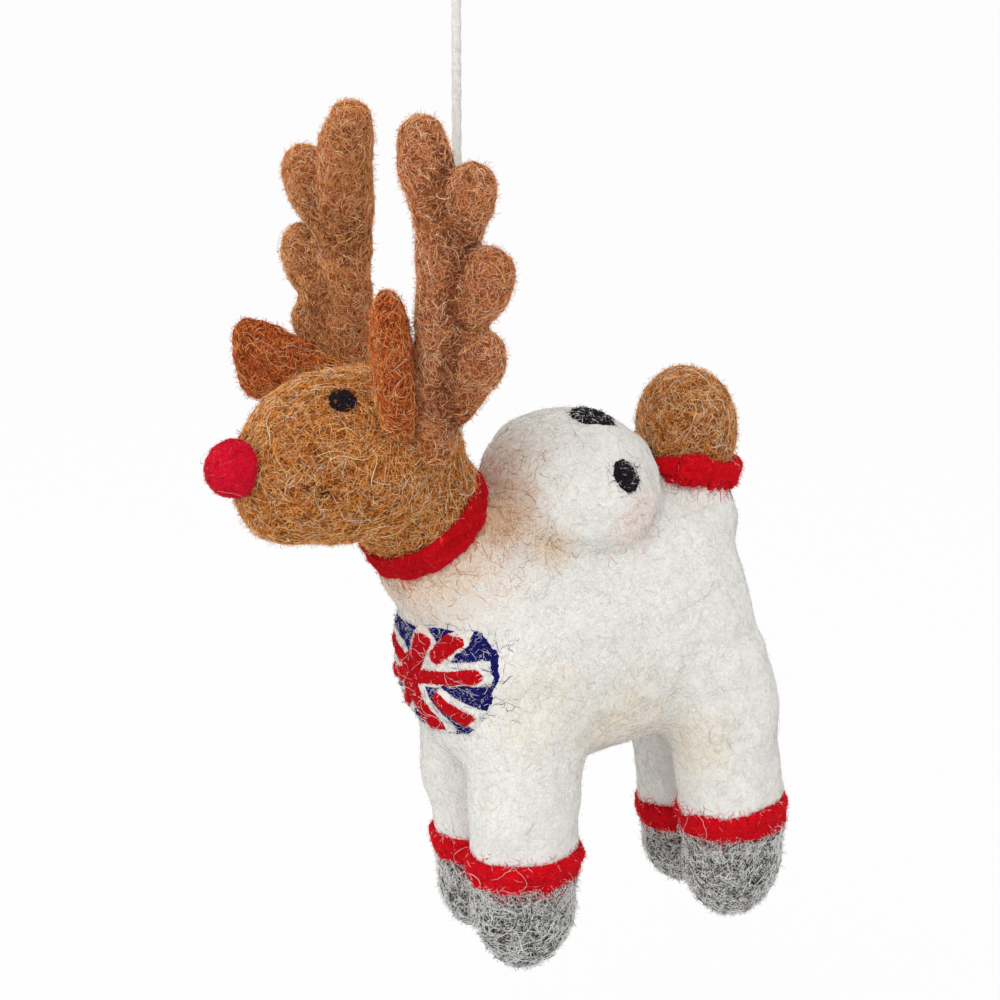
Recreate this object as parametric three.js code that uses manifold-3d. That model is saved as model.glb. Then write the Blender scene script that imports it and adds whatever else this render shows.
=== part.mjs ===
// A needle-felted wool reindeer in a white suit, hung from a cotton cord. Lengths are in millimetres.
// The animal faces -Y, its left side faces +X and +Z is up.
// The origin is the top of the cord's loop, on its hook.
// Each felted form is a rolled, tapering body. Where two forms meet, the larger one cuts the smaller one.
import * as THREE from "three";
import { mergeVertices } from "three/addons/utils/BufferGeometryUtils.js";
import Module from "manifold-3d";

const wasm = await Module();
wasm.setup();

// Stance, at the soles of the left hooves
const frontLegsAhead = 19.3; // of the middle of the stance
const rearLegsBehind = 16.7;
const legSpread = 16.8; // left legs to right legs
const rightLegSetback = 3.6; // right legs behind left legs
const seam = 0.3; // gap between two felted forms

// Torso: a barrel from the rump to the chest
const rumpBehind = 19.7; // behind the middle of the stance
const chestAhead = 31.9; // ahead of the middle of the stance
const barrelHeight = 47.2; // middle of the barrel above the soles
const barrelHalfWidth = 16;
const barrelHalfDepth = 19.4;
const barrelRise = 4.2; // the rump's middle above the chest's middle
const barrelWidthShares = [0.92, 0.96, 0.95, 0.97, 0.98, 0.94];
const barrelDepthShares = [1, 1, 0.97, 0.96, 0.96, 0.92];

// Collar, where the white suit ends and the brown neck begins
const collarInset = 1.4; // its middle behind the front of the chest
const collarRise = 20.9; // above the middle of the barrel
const collarHalfWidth = 9.3; // inside the collar
const collarHalfDepth = 8.7;
const collarLean = 38; // degrees that the neck leans forward from upright
const collarTall = 4.8; // along the neck
const collarProud = 1.1; // outside the neck

// Neck: the white part stands in the chest, and the brown part runs on into the head
const suitNeckLength = 27; // below the collar's middle
const suitNeckShares = [1.3, 1.5, 1.42, 1.13, 0.96];
const neckLength = 15; // above the collar's middle
const neckShares = [1, 1, 1.04, 1];

// Head: an egg with its thick end at the nape
const headAhead = 12.5; // its middle ahead of the collar's
const headRise = 11.2; // above the collar's middle
const headHalfLength = 16.2;
const headHalfWidth = 12.6;
const headHalfDepth = 12;
const headPitch = 1; // degrees that the muzzle points down
const headWidthShares = [0.88, 1, 1, 0.92, 0.78];
const headDepthShares = [0.84, 0.97, 1, 0.95, 0.86];

// Nose and eyes
const noseRadius = 4.3;
const noseProud = 0.8; // its middle ahead of the muzzle's tip
const noseRise = 0.9; // above the head's middle
const noseAside = 0.9; // towards the left
const eyeRadius = 1.9;
const eyeProud = 1.1;
const eyeSink = 0.15; // its middle inside the head's surface
const eyeAhead = 3.4; // of the head's middle
const leftEyeAngle = 31.5; // degrees round the head from its top
const rightEyeAngle = 60;

// Ears: flat flaps, the left one raised and the right one laid out to its side.
// Each is rooted inside the head's side, behind and above the head's middle. An angle is in degrees: a tilt
// is outward from upright, and a sweep swings it towards the front, for the flap's length and for its width.
const earHalfWidth = 6.2;
const earHalfThickness = 2.8;
const earThicknessShares = [1.1, 1.05, 1, 0.92, 0.8];
const leftEar = {
  side: 1,
  inset: 2,
  behind: 3.4,
  rise: 3.2,
  length: 22.6,
  tiltAngle: 8,
  sweepAngle: 68,
  widthTiltAngle: 90,
  widthSweepAngle: 30,
  widthShares: [0.45, 0.8, 1, 0.98, 0.72],
  tipSquareness: 2,
};
const rightEar = {
  side: -1,
  inset: 3.6,
  behind: 5.4,
  rise: 7.3,
  length: 19,
  tiltAngle: 86,
  sweepAngle: 29,
  widthTiltAngle: 16,
  widthSweepAngle: 90,
  widthShares: [0.4, 0.62, 0.86, 1.06, 1.12],
  tipSquareness: 3.2,
};

// Antlers: a beam each, with three lobed tines on the outer side
const antlerBehind = 7.4; // behind the head's middle
const antlerRise = 5.7; // above the head's middle, where the beam leaves the head
const antlerRoot = 6; // inside the head
const antlerBow = 3.8; // the beam's middle outward of a straight line
const beamHalfWidth = 4;
const beamHalfThickness = 3.8;
const beamShares = [1, 0.96, 0.92, 0.94, 1, 0.98];
const tineHalfWidth = 4.1;
const tineHalfThickness = 3.7;
const tineShares = [0.8, 1, 1.08, 0.98];

// Each antler's own sizes. The beam's middle is inside the head's side by the inset, and its tip leans in.
// Its tines go from the top down: their lengths, their angles in degrees above level, and how far up the beam
// they are rooted. They turn forward of straight sideways by the turn angle.
const leftAntler = {
  side: 1,
  inset: 2,
  leanIn: 2.8,
  length: 42.4,
  turnAngle: -28,
  tineLengths: [16.6, 19, 18.4],
  tineAngles: [58, 50, 54],
  rootShares: [0.53, 0.25, -0.02],
};
const rightAntler = {
  side: -1,
  inset: 0.8,
  leanIn: 1.6,
  length: 41,
  turnAngle: 12,
  tineLengths: [17.4, 18, 13.4],
  tineAngles: [46, 44, 40],
  rootShares: [0.48, 0.2, 0.07],
};

// Legs with their ankle bands and hooves
const legHalfWidth = 7;
const legHalfLength = 8.3;
const legWidthShares = [0.99, 0.99, 1.04, 1.1, 1.1];
const legLengthShares = [0.97, 1, 1.06, 1.12, 1.1];
const ankleTall = 5;
const ankleProud = 0.6;
const hoofHalfWidth = 6.8;
const hoofHalfLength = 7.9;
const hoofShares = [0.88, 1, 1.02, 1.01, 1];
const kneeShare = 0.33; // of the way that the leg leans, halfway up

const frontRightAhead = frontLegsAhead - rightLegSetback;
const rearRightAhead = -rearLegsBehind - rightLegSetback;

// Each leg: its side, how far its foot is ahead of the middle of the stance, how far its top is ahead of
// its foot and above the barrel's middle, the ankle's height above the sole, and how far the sole hangs
// below the left ones
const legs = [
  { name: "front_left", side: 1, ahead: frontLegsAhead, lean: -0.5, reach: 2.8, ankle: 16.4, drop: 0 },
  { name: "front_right", side: -1, ahead: frontRightAhead, lean: 5, reach: 2.8, ankle: 15, drop: 1.4 },
  { name: "rear_left", side: 1, ahead: -rearLegsBehind, lean: 10, reach: 7, ankle: 16.7, drop: 0 },
  { name: "rear_right", side: -1, ahead: rearRightAhead, lean: 10, reach: 7, ankle: 12.8, drop: 1.8 },
];

// Tail and its band
const tailInset = 7.2; // its middle ahead of the rump's end
const tailBandRise = 22; // above the middle of the barrel
const tailLength = 14.6; // above the band's middle
const tailHalfWidth = 7.3;
const tailForward = 1.4; // the tail's tip ahead of its root
const tailShares = [0.96, 1, 1.02, 1.02, 0.96];
const tailBandTall = 4.4;
const tailBandProud = 0.5;
const tailBandLean = 12; // degrees backward from upright
const suitTailLength = 16; // the white suit below the band's middle
const suitTailShares = [1.3, 1.24, 1.1, 1.02, 1];

// Pack on the back, with three black buttons
const packAhead = 7.2; // of the middle of the stance
const packRise = 22.4; // above the middle of the barrel
const packHalfWidth = 13.2;
const packHalfLength = 13.4;
const packHalfDepth = 10.3;
const packShares = [0.95, 1, 1, 0.97];
const topButtonRadius = 3.2;
const sideButtonRadius = 2.6;
const buttonProud = 0.6;
const topButtonAside = 2.4; // towards the left
const topButtonBehind = 2.8; // behind the pack's middle
const sideButtonBehind = 2.3;
const sideButtonRise = 4; // above the pack's middle

// Flag patch set into the chest, cut from outlines seen from the front
const flagHalfWidth = 11.4;
const flagHalfHeight = 7.8;
const flagSquareness = 4.5; // 2 would make the patch an oval, and more makes it squarer
const flagSideCount = 20;
const flagMiddleAside = 1; // towards the left
const flagMiddleDrop = 0.6; // below the barrel's middle
const flagPocket = 1.5; // depth of the pocket in the chest
const flagLayer = 0.4; // thickness of each layer of wool
const flagRim = 1.2; // the red wool's ends inside the patch's edge
const flagWhiteCross = 4.6; // width of the white upright cross
const flagRedCross = 2.4;
const flagWhiteDiagonal = 3.6;
const flagRedDiagonal = 1.8;

// Cord from the nape, straight up to its knotted loop
const cordDiameter = 1.35;
const cordAhead = 25.2; // of the middle of the stance
const cordSideCount = 8;
const cordStepCount = 24;
const stitchRise = 9.3; // above the collar's middle, in the nape
const stitchRadius = 1.6;
const knotRise = 70.6; // above the stitch's middle
const knotHalfWidth = 1.9;
const knotHalfHeight = 2.6;

// The cord hangs straight: its points go from the stitch, at 0, to the knot, at 1
const cordRouteShares = [
  0, 0.04, 0.1, 0.17, 0.24, 0.31, 0.38, 0.45, 0.52, 0.59, 0.66, 0.73, 0.8, 0.87, 0.94, 1,
];

// Loop over the hook, from the knot round and back to it: aside, then up, as shares of the loop
const loopHeight = 22; // from the knot's middle to the hook
const loopHalfWidth = 5.2;
const loopStepCount = 18;
const loopShares = [
  [0.12, 0],
  [0.62, 0.3],
  [1, 0.68],
  [0.6, 0.94],
  [0, 1],
  [-0.6, 0.94],
  [-1, 0.68],
  [-0.62, 0.3],
  [-0.12, 0],
];

// Places that follow from these sizes, from the middle of the stance and the soles
const collarAhead = chestAhead - collarInset;
const collarHeight = barrelHeight + collarRise;
const headMiddleAhead = collarAhead + headAhead;
const headMiddleHeight = collarHeight + headRise;
const packHeight = barrelHeight + packRise;
const tailBandHeight = barrelHeight + tailBandRise;
const stitchHeight = collarHeight + stitchRise;
const knotHeight = stitchHeight + knotRise;
const hookHeight = knotHeight + loopHeight;

const weldDistance = seam / 1000; // two points this close are one
const degree = Math.PI / 180;
const quarterTurn = 90; // degrees
const leftward = new THREE.Vector3(1, 0, 0);
const forward = new THREE.Vector3(0, -1, 0);
const upward = new THREE.Vector3(0, 0, 1);

// Dull, matt wool in eight colours, and the cotton of the cord
const suitWhite = { color: 0xebe8e2, roughness: 0.96, metalness: 0 };
const fawn = { color: 0x96643a, roughness: 0.96, metalness: 0 };
const chestnut = { color: 0xa55a30, roughness: 0.96, metalness: 0 };
const antlerBrown = { color: 0xa5693c, roughness: 0.96, metalness: 0 };
const red = { color: 0xcd1424, roughness: 0.96, metalness: 0 };
const grey = { color: 0x7c7c7c, roughness: 0.96, metalness: 0 };
const black = { color: 0x19161c, roughness: 0.96, metalness: 0 };
const blue = { color: 0x28238c, roughness: 0.96, metalness: 0 };
const cotton = { color: 0xe1deda, roughness: 0.9, metalness: 0 };

const group = new THREE.Group();

// A place given from the middle of the stance: to the left, ahead and above the soles
function place(aside, ahead, height) {
  return new THREE.Vector3(aside, cordAhead - ahead, height - hookHeight);
}

// A direction tilted outward from upright, its outward side swept round towards the head
function leaning(side, tilt, sweep) {
  const out = Math.sin(tilt * degree) * Math.cos(sweep * degree) * side;
  const ahead = Math.sin(tilt * degree) * Math.sin(sweep * degree);
  return new THREE.Vector3(out, -ahead, Math.cos(tilt * degree));
}

function along(start, direction, distance) {
  return start.clone().addScaledVector(direction, distance);
}

function toSolid(geometry) {
  const bare = geometry.clone();
  bare.deleteAttribute("normal");
  bare.deleteAttribute("uv");
  const merged = mergeVertices(bare, weldDistance);
  const triVerts = Uint32Array.from(merged.index.array);
  const vertProperties = Float32Array.from(merged.attributes.position.array);
  return new wasm.Manifold(new wasm.Mesh({ numProp: 3, vertProperties, triVerts }));
}

// Adds a node. Of a cut form only the largest body is kept, without the crumbs along a thin edge.
function addNode(name, solid, finish) {
  const [largest] = solid.decompose().sort((a, b) => b.volume() - a.volume());
  const { vertProperties, triVerts } = largest.getMesh();
  const geometry = new THREE.BufferGeometry();
  geometry.setAttribute("position", new THREE.BufferAttribute(Float32Array.from(vertProperties), 3));
  geometry.setIndex(new THREE.BufferAttribute(Uint32Array.from(triVerts), 1));
  geometry.computeVertexNormals();
  const node = new THREE.Mesh(geometry, new THREE.MeshStandardMaterial(finish));
  node.name = name;
  group.add(node);
}

function cutBy(cutters, solid) {
  return cutters.reduce((left, cutter) => left.subtract(cutter), solid);
}

// How far a rounded end has opened, from 0 at its tip to 1 where the full section begins.
// A power of 2 rounds it like a ball, and more makes it squarer.
function rounding(share, power) {
  return share < 1 ? (1 - (1 - share) ** power) ** (1 / power) : 1;
}

// A rolled form: oval rings follow a spine, and both ends are rounded off over their share of it.
// Its shares, from the spine's start to its end, are how far each section swells or tapers.
// Its width lies towards `across`, and `extra` swells the whole form, to cut a neighbour with a gap.
function roll(form, extra = 0) {
  const { spine, across, halfWidth, halfDepth, widthShares, depthShares = widthShares } = form;
  const { capShares = [0.3, 0.3], capPower = 2, sideCount = 12, ringCount = 8 } = form;
  const curve = new THREE.CatmullRomCurve3(spine);
  const sections = widthShares.map((share, i) => new THREE.Vector3(share, depthShares[i], 0));
  const swell = new THREE.CatmullRomCurve3(sections);
  const centre = (t) => along(curve.getPoint(t), curve.getTangent(t), extra * (2 * t - 1));
  const points = [centre(0)];
  for (let ring = 1; ring < ringCount; ring += 1) {
    const t = (1 - Math.cos((Math.PI * ring) / ringCount)) / 2;
    const tangent = curve.getTangent(t);
    const side = along(across, tangent, -across.dot(tangent)).normalize();
    const other = tangent.clone().cross(side);
    const share = swell.getPoint(t);
    const startCap = rounding(t / capShares[0], capPower);
    const cap = Math.min(startCap, rounding((1 - t) / capShares[1], capPower));
    for (let i = 0; i < sideCount; i += 1) {
      const angle = (2 * Math.PI * i) / sideCount;
      const wide = (halfWidth * share.x + extra) * cap * Math.cos(angle);
      const deep = (halfDepth * share.y + extra) * cap * Math.sin(angle);
      points.push(along(along(centre(t), side, wide), other, deep));
    }
  }
  points.push(centre(1));
  return skinOverRings(points, sideCount, ringCount - 1);
}

// The points are one tip, the rings in rows, and the other tip
function skinOverRings(points, sideCount, rowCount) {
  const faces = [];
  const at = (row, i) => 1 + row * sideCount + (i % sideCount);
  for (let i = 0; i < sideCount; i += 1) {
    faces.push(0, at(0, i + 1), at(0, i));
    faces.push(points.length - 1, at(rowCount - 1, i), at(rowCount - 1, i + 1));
    for (let row = 0; row < rowCount - 1; row += 1) {
      faces.push(at(row, i), at(row, i + 1), at(row + 1, i + 1));
      faces.push(at(row, i), at(row + 1, i + 1), at(row + 1, i));
    }
  }
  const geometry = new THREE.BufferGeometry().setFromPoints(points);
  geometry.setIndex(faces);
  return toSolid(geometry);
}

// A stretched ball with its short axis along `direction`
function pebble(middle, direction, halfWidth, halfDepth, sideCount = 10) {
  const ball = new THREE.SphereGeometry(1, sideCount, sideCount / 2);
  ball.rotateX(Math.PI / 2);
  ball.scale(halfWidth, halfWidth, halfDepth);
  ball.applyQuaternion(new THREE.Quaternion().setFromUnitVectors(upward, direction.clone().normalize()));
  ball.translate(...middle.toArray());
  return toSolid(ball);
}

// Torso: the barrel, the white part of the neck and the white root of the tail
const collarMiddle = place(0, collarAhead, collarHeight);
const neckAxis = leaning(1, collarLean, quarterTurn);
const barrel = {
  spine: [
    place(0, -rumpBehind, barrelHeight + barrelRise),
    place(0, (chestAhead - rumpBehind) / 2, barrelHeight),
    place(0, chestAhead, barrelHeight),
  ],
  across: leftward,
  halfWidth: barrelHalfWidth,
  halfDepth: barrelHalfDepth,
  widthShares: barrelWidthShares,
  depthShares: barrelDepthShares,
  capShares: [0.26, 0.34],
  capPower: 2.6,
  sideCount: 18,
  ringCount: 11,
};
const suitNeck = {
  spine: [along(collarMiddle, neckAxis, -suitNeckLength), collarMiddle],
  across: leftward,
  halfWidth: collarHalfWidth,
  halfDepth: collarHalfDepth,
  widthShares: suitNeckShares,
  capShares: [0.4, 0.03],
  sideCount: 16,
  ringCount: 8,
};

const tailAhead = tailInset - rumpBehind;
const tailBandMiddle = place(0, tailAhead, tailBandHeight);
const tailAxis = leaning(1, tailBandLean, -quarterTurn);
const suitTail = {
  spine: [
    place(0, tailAhead, tailBandHeight - suitTailLength),
    along(tailBandMiddle, tailAxis, -tailBandTall),
    tailBandMiddle,
  ],
  across: leftward,
  halfWidth: tailHalfWidth,
  halfDepth: tailHalfWidth,
  widthShares: suitTailShares,
  capShares: [0.4, 0.03],
};

function torsoForm(extra) {
  return roll(barrel, extra).add(roll(suitNeck, extra)).add(roll(suitTail, extra));
}

// Head: the skull and the brown part of the neck
const headMiddle = place(0, headMiddleAhead, headMiddleHeight);
const headAxis = leaning(1, quarterTurn + headPitch, quarterTurn);
const skull = {
  spine: [along(headMiddle, headAxis, -headHalfLength), along(headMiddle, headAxis, headHalfLength)],
  across: leftward,
  halfWidth: headHalfWidth,
  halfDepth: headHalfDepth,
  widthShares: headWidthShares,
  depthShares: headDepthShares,
  capShares: [0.42, 0.42],
  sideCount: 16,
  ringCount: 10,
};
const brownNeck = {
  spine: [along(collarMiddle, neckAxis, seam), along(collarMiddle, neckAxis, neckLength)],
  across: leftward,
  halfWidth: collarHalfWidth,
  halfDepth: collarHalfDepth,
  widthShares: neckShares,
  capShares: [0.05, 0.4],
  sideCount: 16,
  ringCount: 6,
};

function headForm(extra) {
  return roll(skull, extra).add(roll(brownNeck, extra));
}

// A band: a short oval drum, hollowed by the forms that it is wrapped round
function band({ middle, axis, halfWidth, halfDepth, tall, proud }, wrapped) {
  const drum = roll({
    spine: [along(middle, axis, -tall / 2), along(middle, axis, tall / 2)],
    across: leftward,
    halfWidth: halfWidth + proud,
    halfDepth: halfDepth + proud,
    widthShares: [1, 1],
    capShares: [0.1, 0.1],
    ringCount: 5,
  });
  return cutBy(wrapped, drum);
}

// The main forms, each as it is and swollen by the seam to cut its smaller neighbours
const torsoCutter = torsoForm(seam);
const head = headForm(0).subtract(torsoCutter);
const headCutter = headForm(seam);
const pack = {
  spine: [place(0, packAhead - packHalfLength, packHeight), place(0, packAhead + packHalfLength, packHeight)],
  across: leftward,
  halfWidth: packHalfWidth,
  halfDepth: packHalfDepth,
  widthShares: packShares,
  capShares: [0.46, 0.46],
  sideCount: 16,
  ringCount: 9,
};
const packCutter = roll(pack, seam);
addNode("head", head, fawn);
addNode("back_pack", roll(pack).subtract(torsoCutter).subtract(headCutter), suitWhite);
const collar = {
  middle: collarMiddle,
  axis: neckAxis,
  halfWidth: collarHalfWidth,
  halfDepth: collarHalfDepth,
  tall: collarTall,
  proud: collarProud,
};
addNode("neck_band", band(collar, [torsoCutter, headCutter, packCutter]), red);

// Nose and eyes are felted onto the head
const noseAhead = headMiddleAhead + headHalfLength + noseProud;
const noseMiddle = place(noseAside, noseAhead, headMiddleHeight + noseRise);
const nose = pebble(noseMiddle, forward, noseRadius, noseRadius, 12);
addNode("nose", nose.subtract(headCutter), red);
for (const [name, side, angle] of [["left_eye", 1, leftEyeAngle], ["right_eye", -1, rightEyeAngle]]) {
  const aside = (headHalfWidth - eyeSink) * Math.sin(angle * degree);
  const rise = (headHalfDepth - eyeSink) * Math.cos(angle * degree);
  const middle = place(side * aside, headMiddleAhead + eyeAhead, headMiddleHeight + rise);
  const eye = pebble(middle, middle.clone().sub(headMiddle), eyeRadius, eyeProud);
  addNode(name, eye.subtract(headCutter), black);
}

// Buttons on the pack: one on top and one on each flank
const packMiddle = place(0, packAhead, packHeight);
const topButtonOffset = Math.hypot(topButtonAside / packHalfWidth, topButtonBehind / packHalfLength);
const topButtonRise = packHalfDepth * Math.sqrt(1 - topButtonOffset ** 2);
const packTop = place(topButtonAside, packAhead - topButtonBehind, packHeight + topButtonRise);
const topButton = pebble(packTop, packTop.clone().sub(packMiddle), topButtonRadius, buttonProud);
addNode("pack_button_top", topButton.subtract(packCutter), black);
for (const [name, side] of [["pack_button_left", 1], ["pack_button_right", -1]]) {
  const reach = packHalfWidth * Math.sqrt(1 - (sideButtonRise / packHalfDepth) ** 2);
  const middle = place(side * reach, packAhead - sideButtonBehind, packHeight + sideButtonRise);
  const button = pebble(middle, middle.clone().sub(packMiddle), sideButtonRadius, buttonProud);
  addNode(name, button.subtract(packCutter).subtract(torsoCutter), black);
}

// Antlers
const antlerAhead = headMiddleAhead - antlerBehind;
const antlerHeight = headMiddleHeight + antlerRise;
const antlerCutters = [];
for (const antler of [leftAntler, rightAntler]) {
  const { side, inset, leanIn, length } = antler;
  const antlerAside = headHalfWidth - inset;
  const label = side > 0 ? "left" : "right";
  const beam = {
    spine: [
      place(side * antlerAside, antlerAhead, antlerHeight - antlerRoot),
      place(side * (antlerAside + antlerBow), antlerAhead, antlerHeight + length / 2),
      place(side * (antlerAside - leanIn), antlerAhead, antlerHeight + length),
    ],
    across: leftward,
    halfWidth: beamHalfWidth,
    halfDepth: beamHalfThickness,
    widthShares: beamShares,
    capShares: [0.1, 0.12],
  };
  const beamCutter = roll(beam, seam);
  addNode(`${label}_antler_beam`, roll(beam).subtract(headCutter), antlerBrown);
  antlerCutters.push(beamCutter);
  const aboveCutters = [beamCutter, headCutter];
  antler.tineLengths.forEach((tineLength, i) => {
    const direction = leaning(side, quarterTurn - antler.tineAngles[i], antler.turnAngle);
    const root = place(side * antlerAside, antlerAhead, antlerHeight + antler.rootShares[i] * length);
    const tine = {
      spine: [root, along(root, direction, tineLength)],
      across: upward,
      halfWidth: tineHalfWidth,
      halfDepth: tineHalfThickness,
      widthShares: tineShares,
      capShares: [0.3, 0.34],
      sideCount: 10,
      ringCount: 8,
    };
    const level = ["upper", "middle", "lower"][i];
    addNode(`${label}_antler_${level}_tine`, cutBy(aboveCutters, roll(tine)), antlerBrown);
    aboveCutters.push(roll(tine, seam));
    antlerCutters.push(roll(tine, seam));
  });
}

// Ears
for (const ear of [leftEar, rightEar]) {
  const aside = ear.side * (headHalfWidth - ear.inset);
  const root = place(aside, headMiddleAhead - ear.behind, headMiddleHeight + ear.rise);
  const flap = roll({
    spine: [root, along(root, leaning(ear.side, ear.tiltAngle, ear.sweepAngle), ear.length)],
    across: leaning(ear.side, ear.widthTiltAngle, ear.widthSweepAngle),
    halfWidth: earHalfWidth,
    halfDepth: earHalfThickness,
    widthShares: ear.widthShares,
    depthShares: earThicknessShares,
    capShares: [0.14, 0.22],
    capPower: ear.tipSquareness,
    sideCount: 12,
    ringCount: 9,
  });
  const label = ear.side > 0 ? "left" : "right";
  addNode(`${label}_ear`, cutBy([headCutter, ...antlerCutters], flap), chestnut);
}

// Flag patch: three layers of wool in a pocket in the chest, all following the chest's curve
const flagMiddle = place(flagMiddleAside, chestAhead - barrelHalfWidth, barrelHeight - flagMiddleDrop);

function flagPrism(corners, turn = 0, across = 0, rise = 0) {
  const depth = chestAhead;
  const prism = new THREE.ExtrudeGeometry(new THREE.Shape(corners), { depth, bevelEnabled: false });
  prism.rotateZ(turn);
  prism.translate(across, rise, 0);
  prism.rotateX(Math.PI / 2);
  prism.translate(...flagMiddle.toArray());
  return toSolid(prism);
}

function flagBar(width, height, turn, across, rise) {
  const corners = [[-1, -1], [1, -1], [1, 1], [-1, 1]].map(
    ([side, row]) => new THREE.Vector2((side * width) / 2, (row * height) / 2),
  );
  return flagPrism(corners, turn, across, rise);
}

// The whole patch, shrunk all round by an inset
function flagPatch(inset) {
  const corners = [];
  const squared = (share) => Math.sign(share) * Math.abs(share) ** (2 / flagSquareness);
  for (let i = 0; i < flagSideCount; i += 1) {
    const angle = (2 * Math.PI * (i + 0.5)) / flagSideCount;
    const aside = (flagHalfWidth - inset) * squared(Math.cos(angle));
    corners.push(new THREE.Vector2(aside, (flagHalfHeight - inset) * squared(Math.sin(angle))));
  }
  return flagPrism(corners);
}

function flagShell(layer) {
  const inner = -flagPocket + seam + layer * (flagLayer + seam);
  return torsoForm(inner + flagLayer).subtract(torsoForm(inner));
}

const flagWidth = 2 * flagHalfWidth;
const flagHeight = 2 * flagHalfHeight;
const diagonalTurn = Math.atan2(flagHeight, flagWidth);
const diagonalLength = Math.hypot(flagWidth, flagHeight);
const flagGround = flagPatch(0);
const flagCutter = flagPatch(-seam);
const redEnds = flagPatch(flagRim);

function flagCross(width) {
  return flagBar(width, flagHeight).add(flagBar(flagWidth, width));
}

function flagDiagonal(width, turn) {
  return flagBar(diagonalLength, width, turn);
}

const whiteDiagonals = [-diagonalTurn, diagonalTurn].map((turn) => flagDiagonal(flagWhiteDiagonal, turn));
const whiteStripes = whiteDiagonals.reduce((joined, bar) => joined.add(bar), flagCross(flagWhiteCross));
const redCrossCutter = flagCross(flagRedCross + 2 * seam);
addNode("torso", torsoForm(0).subtract(flagCutter.subtract(torsoForm(-flagPocket))), suitWhite);
addNode("flag_ground", flagShell(0).intersect(flagGround), blue);
addNode("flag_white_stripes", flagShell(1).intersect(whiteStripes).intersect(flagGround), suitWhite);
addNode("flag_red_cross", flagShell(2).intersect(flagCross(flagRedCross)).intersect(redEnds), red);
for (const [name, side, rise] of [
  ["flag_red_diagonal_top_left", 1, 1],
  ["flag_red_diagonal_top_right", -1, 1],
  ["flag_red_diagonal_bottom_left", 1, -1],
  ["flag_red_diagonal_bottom_right", -1, -1],
]) {
  const quarterMiddle = [(side * flagHalfWidth) / 2, (rise * flagHalfHeight) / 2];
  const quarter = flagBar(flagHalfWidth, flagHalfHeight, 0, ...quarterMiddle).intersect(redEnds);
  const stripe = flagDiagonal(flagRedDiagonal, side * rise * diagonalTurn).intersect(quarter);
  addNode(name, flagShell(2).intersect(stripe).subtract(redCrossCutter), red);
}

// Legs, each with a band round the joint between the white leg and the grey hoof
for (const { name, side, ahead, lean, reach, ankle: ankleRise, drop } of legs) {
  const aside = (side * legSpread) / 2;
  const ankleHeight = ankleRise - drop;
  const ankle = place(aside, ahead, ankleHeight);
  const legTop = barrelHeight + reach;
  const leg = {
    spine: [
      along(ankle, upward, seam / 2),
      place(aside, ahead + kneeShare * lean, (ankleHeight + legTop) / 2),
      place(aside, ahead + lean, legTop),
    ],
    across: leftward,
    halfWidth: legHalfWidth,
    halfDepth: legHalfLength,
    widthShares: legWidthShares,
    depthShares: legLengthShares,
    capShares: [0.02, 0.42],
  };
  const hoof = {
    spine: [place(aside, ahead, -drop), along(ankle, upward, -seam / 2)],
    across: leftward,
    halfWidth: hoofHalfWidth,
    halfDepth: hoofHalfLength,
    widthShares: hoofShares,
    capShares: [0.6, 0.02],
  };
  const ankleBand = {
    middle: ankle,
    axis: upward,
    halfWidth: legHalfWidth,
    halfDepth: legHalfLength,
    tall: ankleTall,
    proud: ankleProud,
  };
  addNode(`${name}_leg`, cutBy([torsoCutter, flagCutter], roll(leg)), suitWhite);
  addNode(`${name}_hoof`, roll(hoof), grey);
  addNode(`${name}_ankle_band`, band(ankleBand, [roll(leg, seam), roll(hoof, seam)]), red);
}

// Tail, standing on its white root in its band
const tail = {
  spine: [
    along(tailBandMiddle, tailAxis, seam),
    place(0, tailAhead, tailBandHeight + tailLength / 2),
    place(0, tailAhead + tailForward, tailBandHeight + tailLength),
  ],
  across: leftward,
  halfWidth: tailHalfWidth,
  halfDepth: tailHalfWidth,
  widthShares: tailShares,
  capShares: [0.03, 0.62],
};
const tailBand = {
  middle: tailBandMiddle,
  axis: tailAxis,
  halfWidth: tailHalfWidth,
  halfDepth: tailHalfWidth,
  tall: tailBandTall,
  proud: tailBandProud,
};
addNode("tail", cutBy([torsoCutter, packCutter], roll(tail)), fawn);
addNode("tail_band", band(tailBand, [roll(tail, seam), torsoCutter, packCutter]), red);

// Cord: a stitch in the nape, the straight cord, and the knot and loop that the hook holds
const stitchMiddle = place(0, cordAhead, stitchHeight);
const stitch = pebble(stitchMiddle, upward, stitchRadius, stitchRadius);
addNode("cord_stitch", stitch.subtract(headCutter).subtract(torsoCutter), cotton);
const cordFoot = stitchHeight + stitchRadius + seam;
const cordTop = knotHeight - knotHalfHeight - seam;
const cordCorners = [];
for (let i = 0; i < cordSideCount; i += 1) {
  const angle = (2 * Math.PI * i) / cordSideCount;
  cordCorners.push(new THREE.Vector2(Math.cos(angle), Math.sin(angle)).multiplyScalar(cordDiameter / 2));
}
const cordSection = new THREE.Shape(cordCorners);

function tube(points, steps) {
  const extrudePath = new THREE.CatmullRomCurve3(points);
  return toSolid(new THREE.ExtrudeGeometry(cordSection, { steps, bevelEnabled: false, extrudePath }));
}

const cordRoute = cordRouteShares.map((share) =>
  place(0, cordAhead, cordFoot + share * (cordTop - cordFoot)),
);
addNode("hanging_cord", tube(cordRoute, cordStepCount), cotton);

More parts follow.
